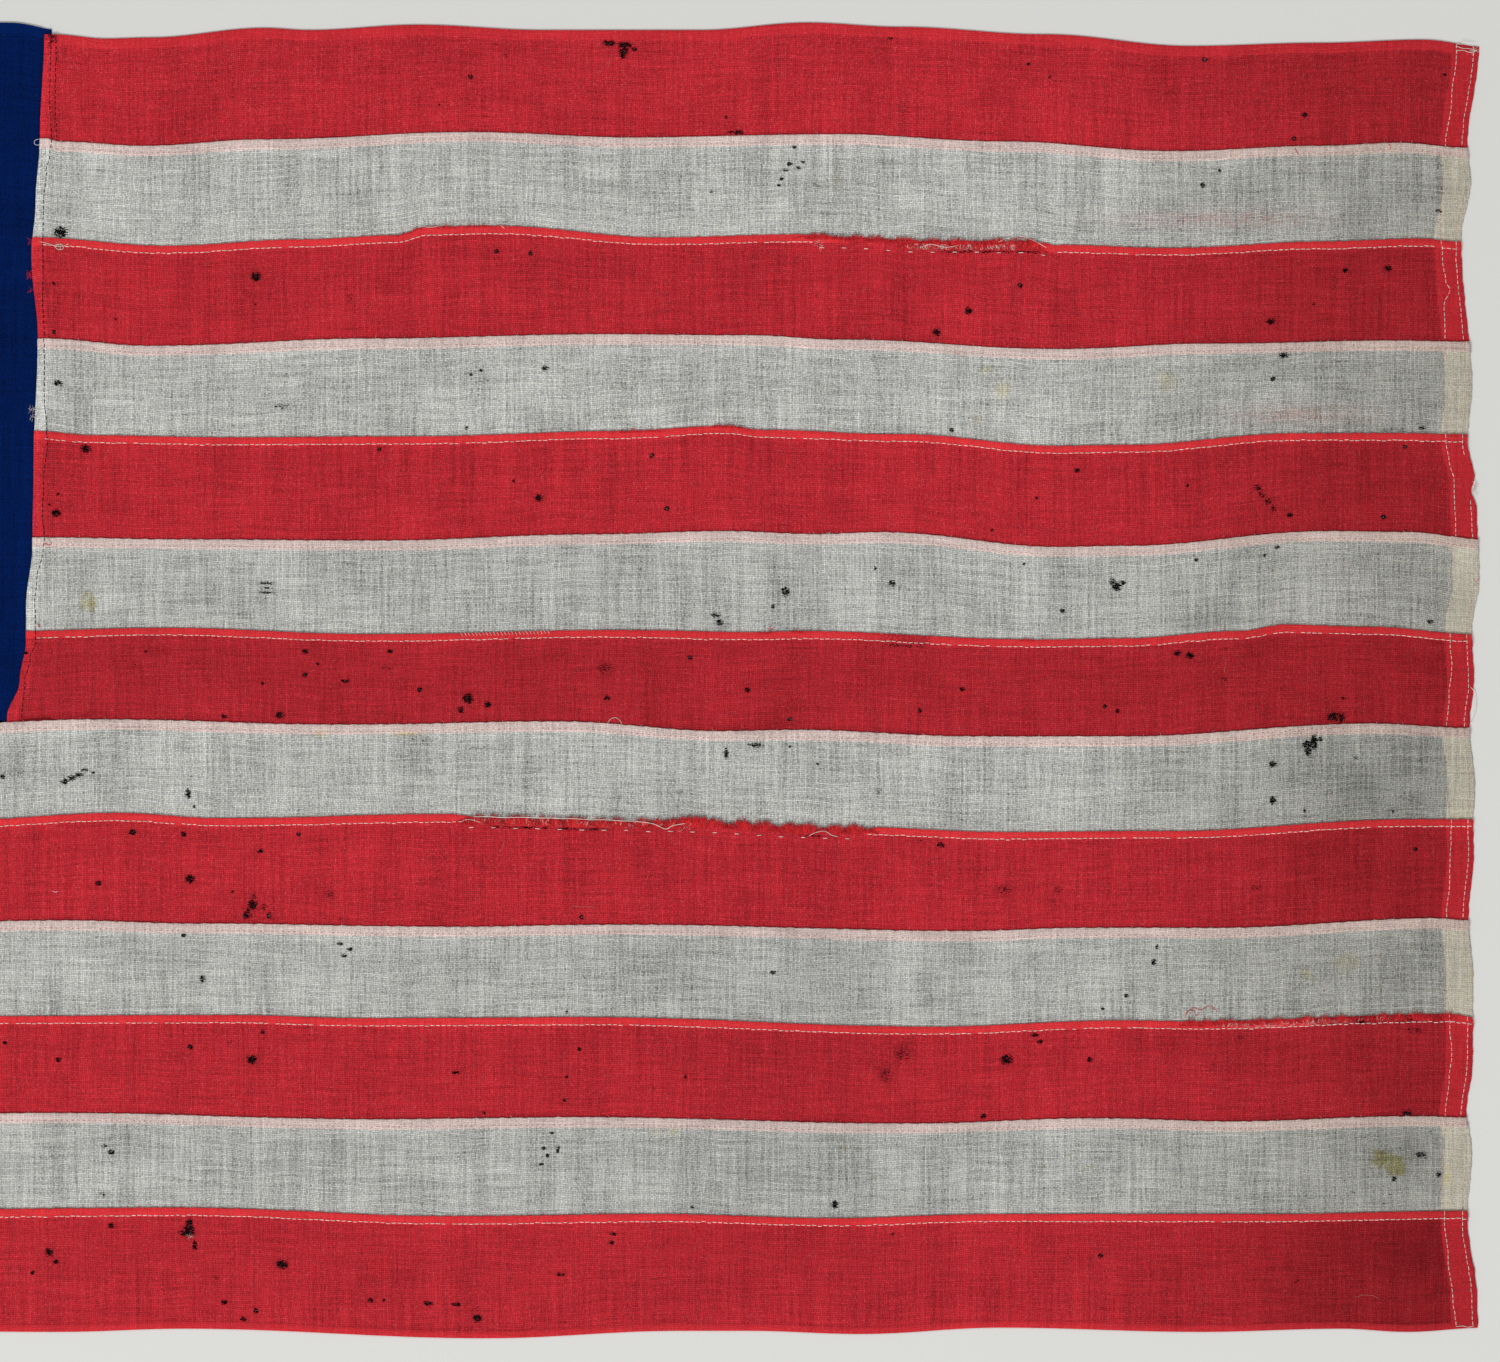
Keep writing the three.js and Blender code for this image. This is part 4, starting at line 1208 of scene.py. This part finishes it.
def woven(name, base, band, hem, pitch=(0.80, 0.86), gap_shade=0.62, contrast=1.0, fleck=None):
    """Open plain weave, with uneven threads, gaps darkened with painted shade, streaks, stains, and
    painted shade at holes, worn spots, creases and partings.

    base, band and hem are the colours of open cloth, of a seam's fold and of a hem.
    Every sheet has its own seed, so that no two have the same streaks.
    """
    g = Graph(name)
    own_place = g.attribute("weave", "Vector")
    own_x, own_s, seed = g.split(own_place)
    place = g.join(g.times_add(seed, 37.3, own_x), g.times_add(seed, 5.9, own_s), 0.0)
    x = g.vary(g.noise(place, (17, 15), 0.0), DRIFT, own_x)
    s = g.vary(g.noise(place, (19, 16), 0.0), DRIFT, own_s)
    across, down = g.math("DIVIDE", x, pitch[0]), g.math("DIVIDE", s, pitch[1])
    hollow_across = g.times_add(g.math("COSINE", g.times(across, TAU)), -0.5, 0.5)
    hollow_down = g.times_add(g.math("COSINE", g.times(down, TAU)), -0.5, 0.5)
    gap = g.times(hollow_across, hollow_down)
    thread_across, thread_down = g.math("ROUND", across), g.math("ROUND", down)

    along = g.times_add(seed, 3.7, g.math("DIVIDE", x, 26))
    long_threads = g.noise(g.join(along, g.times(thread_down, 7.31), 0.0))
    along = g.times_add(seed, 2.9, g.math("DIVIDE", s, 17))
    cross_threads = g.noise(g.join(g.times(thread_across, 5.17), along, 0.0))
    cell = g.speckle(g.join(thread_across, thread_down, seed))
    slubs = g.ramp(g.noise(place, (17, 0.95)), 0.60, 0.74)
    lines = g.noise(place, (1.2, 60), 0.0)
    strips = g.noise(place, (13, 190), 0.0)
    mottle = g.noise(place, (44, 26))
    fine = g.noise(place, (0.9, 0.62), 0.0)

    doubled = g.math("MAXIMUM", g.attribute("band"), g.attribute("hem"))
    uneven = 0.0
    for part, strength in ((long_threads, 0.64), (cross_threads, 0.50), (lines, 0.42),
                           (strips, 0.22), (mottle, 0.34), (fine, 0.86), (cell, 0.30)):
        uneven = g.vary(part, strength * contrast, uneven)
    uneven = g.times_add(slubs, -0.14 * contrast, uneven)
    level = g.times_add(uneven, g.times_add(doubled, -0.38, 1.0), 1.0)
    # painted shade in the weave's gaps, for the shaded table seen through them, less where the
    # cloth is doubled
    closed = g.times_add(doubled, 0.3 * gap_shade, -gap_shade)
    level = g.times(level, g.times_add(gap, closed, 1.0))
    tone = g.attribute("tone")
    shade = g.math("SUBTRACT", 1.0, tone)
    level = g.times(level, g.times_add(shade, g.times(doubled, 0.42), tone))
    level = g.times(level, 1 + 0.22 * gap_shade)

    ragged_band = g.vary(fine, 0.9, g.attribute("band"))
    colour = g.mix(g.attribute("hem"), base, hem)
    colour = g.mix(g.ramp(ragged_band, 0.3, 0.62), colour, band)
    rag = g.ramp(g.noise(place, (2.6, 1.1), 0.0), 0.3, 0.62)
    colour = g.mix(g.times(g.attribute("bare"), rag), colour, INSIDE_FOLD)
    if fleck:
        colour = g.mix(g.times(g.ramp(cell, 0.86, 0.98), 0.2), colour, fleck)
    colour = g.scale(colour, level)
    blotchy = g.ramp(g.noise(place, (5, 3.5)), 0.25, 0.75)
    for stain, tint in (("yellow", YELLOW_TINT), ("pink", PINK_TINT)):
        share = g.times(g.attribute(stain), g.times_add(blotchy, 0.7, 0.5))
        colour = g.mix(g.math("MINIMUM", share, 1.0), colour, tint, "MULTIPLY")
    edge = g.vary(blotchy, 0.3, g.attribute("olive"))
    colour = g.mix(g.ramp(edge, 0.2, 0.55), colour, OLIVE_TINT, "MULTIPLY")
    # painted shade: the dark value blends the colour towards near black, with ragged edges
    dark = g.attribute("dark")
    ragged = g.vary(g.noise(place, (1.5, 0.42)), 2.2, dark)
    painted_shade = g.times(g.ramp(ragged, 0.38, 0.72), g.ramp(dark, 0.02, 0.3))
    colour = g.mix(g.math("MAXIMUM", painted_shade, g.times(dark, 0.3)), colour, SHADE_BLACK)
    flat_x, flat_s, _ = g.split(g.scale(own_place, TAU))
    relief = g.times(g.math("COSINE", g.math("DIVIDE", flat_x, pitch[0])),
                     g.math("COSINE", g.math("DIVIDE", flat_s, pitch[1])))
    return g.finish(colour, relief, bump=0.3, depth=0.0001)


def spun(name, colour, dark_share=0.35, ply=0.55):
    """Thread: two plies twisted together, a little uneven."""
    g = Graph(name)
    place = g.scale(g.add("TexCoord").outputs["Object"], 1 / MM)
    x, y, _ = g.split(place)
    twist = g.math("SINE", g.times(g.math("ADD", x, y), TAU / ply))
    level = g.times_add(twist, 0.07, 1.0)
    level = g.vary(g.noise(place, (2.1, 2.1)), dark_share * 2, level)
    level = g.times(level, g.attribute("tone"))
    return g.finish(g.scale(colour, level), twist, bump=0.2, depth=0.00005)


RED_CLOTH = woven("red_bunting", from_screen(193, 44, 53), from_screen(228, 56, 61),
                  from_screen(206, 47, 55), fleck=from_screen(208, 88, 94), contrast=0.75)
WHITE_CLOTH = woven("white_bunting", from_screen(192, 192, 187), from_screen(219, 197, 190),
                    from_screen(207, 202, 187), contrast=1.0)
NAVY_CLOTH = woven("navy_bunting", from_screen(2, 27, 80), from_screen(2, 29, 84),
                   from_screen(2, 31, 88), contrast=0.8)
CANVAS = woven("heading_canvas", PALE_CANVAS, PALE_CANVAS, PALE_CANVAS, pitch=(1.05, 1.05),
               gap_shade=0.35, contrast=0.45)
WHITE_THREAD = spun("white_thread", from_screen(232, 226, 214))
CREAM_THREAD = spun("cream_thread", from_screen(206, 146, 139))
RED_THREAD = spun("red_thread", from_screen(216, 50, 55))
GREY_THREAD = spun("grey_thread", from_screen(196, 194, 187))
NAVY_THREAD = spun("navy_thread", from_screen(11, 15, 36))


# ---- The flag -----------------------------------------------------------------------

stripes = [Stripe(number) for number in range(1, STRIPES + 1)]
for stripe in stripes:
    name = f"stripe_{stripe.number:02d}"
    if stripe.white:
        material, stitching, fibre, slot = WHITE_CLOTH, CREAM_THREAD, GREY_THREAD, "white_bunting"
    else:
        material, stitching, fibre, slot = RED_CLOTH, WHITE_THREAD, RED_THREAD, "red_bunting"
    cloth, holes = make_stripe(stripe, name, material)
    rng = np.random.default_rng(THREAD_SEED + stripe.number)
    pieces = [
        make_stitches(stripe, rng).build(name + "_stitches", stitching, "white_bunting"),
        make_frays(stripe, holes, rng).build(name + "_frays", fibre, slot),
    ]


TANGLE = (-112.3, 301.8)          # where the doubled stitches end, in a tangle
TANGLE_FIBRES = 34


def make_canton_stitches():
    """Dark stitches down the folded left ends of the upper stripes, doubled at the top."""
    threads = Threads()
    rng = np.random.default_rng(CANTON_THREAD_SEED)
    for stripe in stripes[:CANTON_STRIPES]:
        down_stitches(threads, stripe, lambda y: CANTON_X + wave(CANTON_STITCH, y),
                      0.21, 2.45, rng)
    down_stitches(threads, stripes[0], lambda y: CANTON_X + 2.4 + wave(CANTON_STITCH, y),
                  0.18, 2.3, rng)
    for _ in range(TANGLE_FIBRES):
        x, y = rng.normal(TANGLE[0], 1.1), rng.normal(TANGLE[1], 1.1)
        threads.add(wisp(x, y, 1.5 + rng.uniform(-0.3, 0.3), rng.uniform(0, TAU),
                         rng.uniform(1.2, 3.6), 2.2, rng), 0.09, rng.uniform(0.8, 2.6), sides=3)
    return threads


# Loose threads, through places (x, y).
LOOSE_WHITE = [
    [(80, -66.2), (84, -65), (90, -66.6)],
    [(243.8, -72.9), (247, -71.2), (251.3, -70.6), (254.5, -72.4), (257.5, -73.2)],
    [(333, 206.2), (337, 208.2), (342.4, 209.3), (349.6, 206.9), (355.5, 203.6)],
    [(52, 212.6), (58, 214.4), (66, 213.2), (73, 214.6)],
    [(74, 214.2), (80, 215.9), (88, 214.4), (97, 214.8), (101, 212.6)],
    [(149, -20.2), (150.6, -18), (153.2, -17.2), (155.2, -18.8), (156.2, -20.8)],
    [(-117.8, 254.6), (-119.6, 253.9), (-119.9, 252.4), (-118.4, 251.7), (-117.2, 252.2)],
    [(-117.5, 206.4), (-113, 205.4), (-109.6, 204.2), (-106.4, 204.4), (-103.8, 205.6)],
    [(-111, 205), (-109.2, 202.9), (-106.6, 203.2), (-107.2, 205.2), (-110, 205)],
    [(555.8, 94), (557.6, 91.6), (556.2, 89), (557.9, 86.6)],
    [(554.8, -2.6), (556.9, -6), (557.5, -12), (556.5, -17), (554.9, -20)],
    [(547.8, 298.6), (551, 297.4), (554.6, 297.2), (558, 296)],
    [(547.9, 296.2), (551.5, 296.4), (555, 295.4), (558.2, 296.8)],
    [(548.2, 299.4), (552, 299.2), (556.6, 298.4)],
    [(548, -303.4), (551.2, -303.1), (554, -303.7), (556.4, -303)],
    [(-115.6, 67.6), (-113.4, 66.2), (-112, 64.4)],
    [(296, 203.6), (301, 205.2), (308, 203.8), (314, 204.6)],
    [(216, -62.6), (219, -64.6), (224, -65)],
    [(-111.5, -98.6), (-110.2, -99.2), (-109, -98.8)],
]
RAW_EDGE = [
    [(86, -63.8), (93, -63.7), (100, -64.1), (109, -64), (116, -64.3), (127, -64.4)],
    [(124, -64.6), (132, -64.6), (141, -65.1), (149, -65.2), (156, -65.7), (163, -65.8)],
    [(162, -65.9), (167, -66.4), (171.4, -67.3), (176.5, -69.5), (180, -67.9), (186, -66.9)],
]
LOOSE_FAINT = [
    [(133, -105.8), (138, -106.1), (143.5, -106)],
    [(500.5, -289.6), (504, -288.6), (508.5, -288.8), (512, -290.2)],
    [(101, -75.2), (99.5, -78.5), (98.6, -80.4)],
    [(440.2, 10.5), (439.4, 7), (439, 4)],
]
LOOSE_RED = [
    [(420.5, -157.6), (424, -153.6), (428, -154.6), (432, -152.8), (436, -155.4)],
    [(212.4, -63.2), (213.6, -65.2), (216.2, -68.8)],
    [(338, 206.6), (343.6, 208.4), (350.8, 206.2), (357, 204.4)],
    [(420.4, -158.4), (421.8, -155.4), (424.6, -154.8), (426, -157.2), (427.9, -155.6)],
    [(472, 250.6), (472.8, 249.2), (473.8, 247.6)],
    [(516.2, 252.4), (517.2, 251.2), (517, 249.8)],
    [(-115.4, 65), (-113.2, 63.8), (-111.6, 65.2)],
    [(236, 207.4), (241, 208.8), (246, 207.2)],
    [(-120.4, 194), (-122.4, 191.4), (-121.6, 188.8)],
    [(486, -17.2), (489, -19.6), (493.4, -18.8)],
]


def make_loose(paths, radius, tufts, seed, lift=0.25):
    """Loose threads, and tufts of fluff at (x, y), each with a size and fibre count."""
    threads = Threads()
    rng = np.random.default_rng(seed)
    for path in paths:
        laid_thread(threads, path, radius, stripes, rng.uniform(0.85, 1.1), lift)
    for x, y, size, count in tufts:
        for _ in range(count):
            px, py = x + rng.normal(0, size / 2), y + rng.normal(0, size / 2)
            z = cloth_top(px, py, stripes) + rng.uniform(0, 0.3)
            threads.add(wisp(px, py, z, rng.uniform(0, TAU), rng.uniform(0.8, 2.4), 1.8, rng),
                        0.06, rng.uniform(0.8, 1.1), sides=3)
    return threads


def make_pink_row():
    """Short red stitches, partly hidden, along the fold of stripe 8 near the fly."""
    threads = Threads()
    rng = np.random.default_rng(PINK_ROW_SEED)
    stitch_row(threads, stripes[7], np.arange(451, 497, 2.1), 1.9, 1.2, 0.12, rng, 0.9, 0.3)
    return threads


def make_overcast():
    """Small slanting stitches over the fold of stripe 7."""
    threads = Threads()
    rng = np.random.default_rng(OVERCAST_SEED)
    for a in np.arange(80, 121, 1.7):
        places = a + np.array([0, 0.45, 0.9, 1.3])
        down = np.array([-0.5, 0.15, 1.0, 1.8])
        x, y = stripes[6].to_flag(places, down)
        top = stripes[6].heights(places, np.maximum(down, 0))[1]
        threads.lay(x, y, top + [-0.3, 0.14, 0.12, -0.1], 0.13, rng.uniform(0.8, 1.05))
    return threads


WHITE_TUFTS = [(-121.2, 127.5, 1.2, 16), (-121, 124, 1.0, 12), (-108, 204.8, 1.3, 16),
               (-46.8, -261.1, 0.5, 8),
               (556.6, 296.4, 0.9, 16), (557, 88.8, 0.8, 10), (249, 204.8, 1.8, 14),
               (186, -68.2, 2.0, 16)]
RED_TUFTS = [(-122.6, 191, 1.4, 22), (-121.4, 206.4, 1.0, 12), (-122.4, 183, 0.8, 8),
             (226, 24.4, 1.0, 14), (557, 92, 0.8, 8), (558, 47, 0.6, 5), (492.5, -17.5, 1.2, 12),
             (-117.6, 26.2, 0.8, 8)]
make_loose(LOOSE_WHITE, 0.13, WHITE_TUFTS, 88).build("loose_white_threads", WHITE_THREAD,
                                                     "white_bunting")
make_loose(LOOSE_RED, 0.11, RED_TUFTS, 89).build("loose_red_threads", RED_THREAD, "red_bunting")
make_loose(RAW_EDGE, 0.16, [], 93, 0.75).build("raw_edge_threads", WHITE_THREAD, "white_bunting")
make_loose(LOOSE_FAINT, 0.06, [], 90).build("faint_threads", CREAM_THREAD, "white_bunting")
make_overcast().build("overcast_stitches", WHITE_THREAD, "white_bunting")
make_pink_row().build("red_seam_stitches", RED_THREAD, "red_bunting")


canton = make_canton(NAVY_CLOTH)
canton_stitches = make_canton_stitches().build("canton_seam_stitches", NAVY_THREAD, "navy_bunting")


def make_heading_stitches():
    threads = Threads()
    rng = np.random.default_rng(HEADING_THREAD_SEED)
    for a in HEADING_SEAMS:
        y = FLAG_TOP - 2.0
        while y > FLAG_BOTTOM + 2:
            ys = y + STITCH_ALONG * 1.9
            xs = a + heading_sway(ys) + rng.normal(0, 0.06)
            tops = under_heading(ys) + HEADING_THICK - 0.05
            threads.lay(xs, ys, tops + [-0.2, 0.16, 0.16, -0.2], 0.21, rng.uniform(0.85, 1.05))
            y -= 2.8
    return threads


heading = make_heading(CANVAS)
heading_stitches = make_heading_stitches().build("heading_stitches", WHITE_THREAD, "heading_canvas")


# ---- Table, light and camera --------------------------------------------------------

VIEW_CENTRE = (216.2, 0.0)        # what the camera looks straight down at
VIEW_WIDTH = 705.0
LENS = 100
SENSOR = 36
TABLE_HALF = 3.0                  # in metres
PALE_TABLE = from_screen(228, 227, 223)
KEY_LIGHT = ((-1.6, -4.0, 3.8), 1.9, 225)      # place and size in metres, and power
FILL_LIGHT = ((2.6, 3.0, 3.6), 2.6, 53)
STUDIO_AIR = (0.95, 0.97, 1.0, 1)
STUDIO_LEVEL = 0.352


def make_table():
    mesh = bpy.data.meshes.new("table")
    corners = [(x * TABLE_HALF, y * TABLE_HALF, 0) for x, y in ((-1, -1), (1, -1), (1, 1), (-1, 1))]
    mesh.from_pydata(corners, [], [(0, 1, 2, 3)])
    mesh.materials.append(Graph("pale_table").finish(PALE_TABLE, roughness=0.9))
    table = bpy.data.objects.new("table", mesh)
    bpy.context.scene.collection.objects.link(table)


def area_light(name, place, size, power):
    light = bpy.data.lights.new(name, "AREA")
    light.size = size
    light.energy = power
    lamp = bpy.data.objects.new(name, light)
    lamp.location = place
    target = Vector((VIEW_CENTRE[0] * MM, VIEW_CENTRE[1] * MM, 0))
    lamp.rotation_euler = (target - Vector(place)).to_track_quat("-Z", "Y").to_euler()
    bpy.context.scene.collection.objects.link(lamp)


def make_camera():
    data = bpy.data.cameras.new("camera")
    data.lens = LENS
    data.sensor_width = SENSOR
    data.clip_end = 20
    camera = bpy.data.objects.new("camera", data)
    distance = VIEW_WIDTH * MM * LENS / SENSOR
    camera.location = (VIEW_CENTRE[0] * MM, VIEW_CENTRE[1] * MM, distance + 0.001)
    bpy.context.scene.collection.objects.link(camera)
    bpy.context.scene.camera = camera


make_table()
area_light("key", *KEY_LIGHT)
area_light("fill", *FILL_LIGHT)
world = bpy.data.worlds.new("studio")
world.use_nodes = True
background = world.node_tree.nodes["Background"]
background.inputs["Color"].default_value = STUDIO_AIR
background.inputs["Strength"].default_value = STUDIO_LEVEL
bpy.context.scene.world = world
bpy.context.scene.view_settings.view_transform = "Standard"
make_camera()
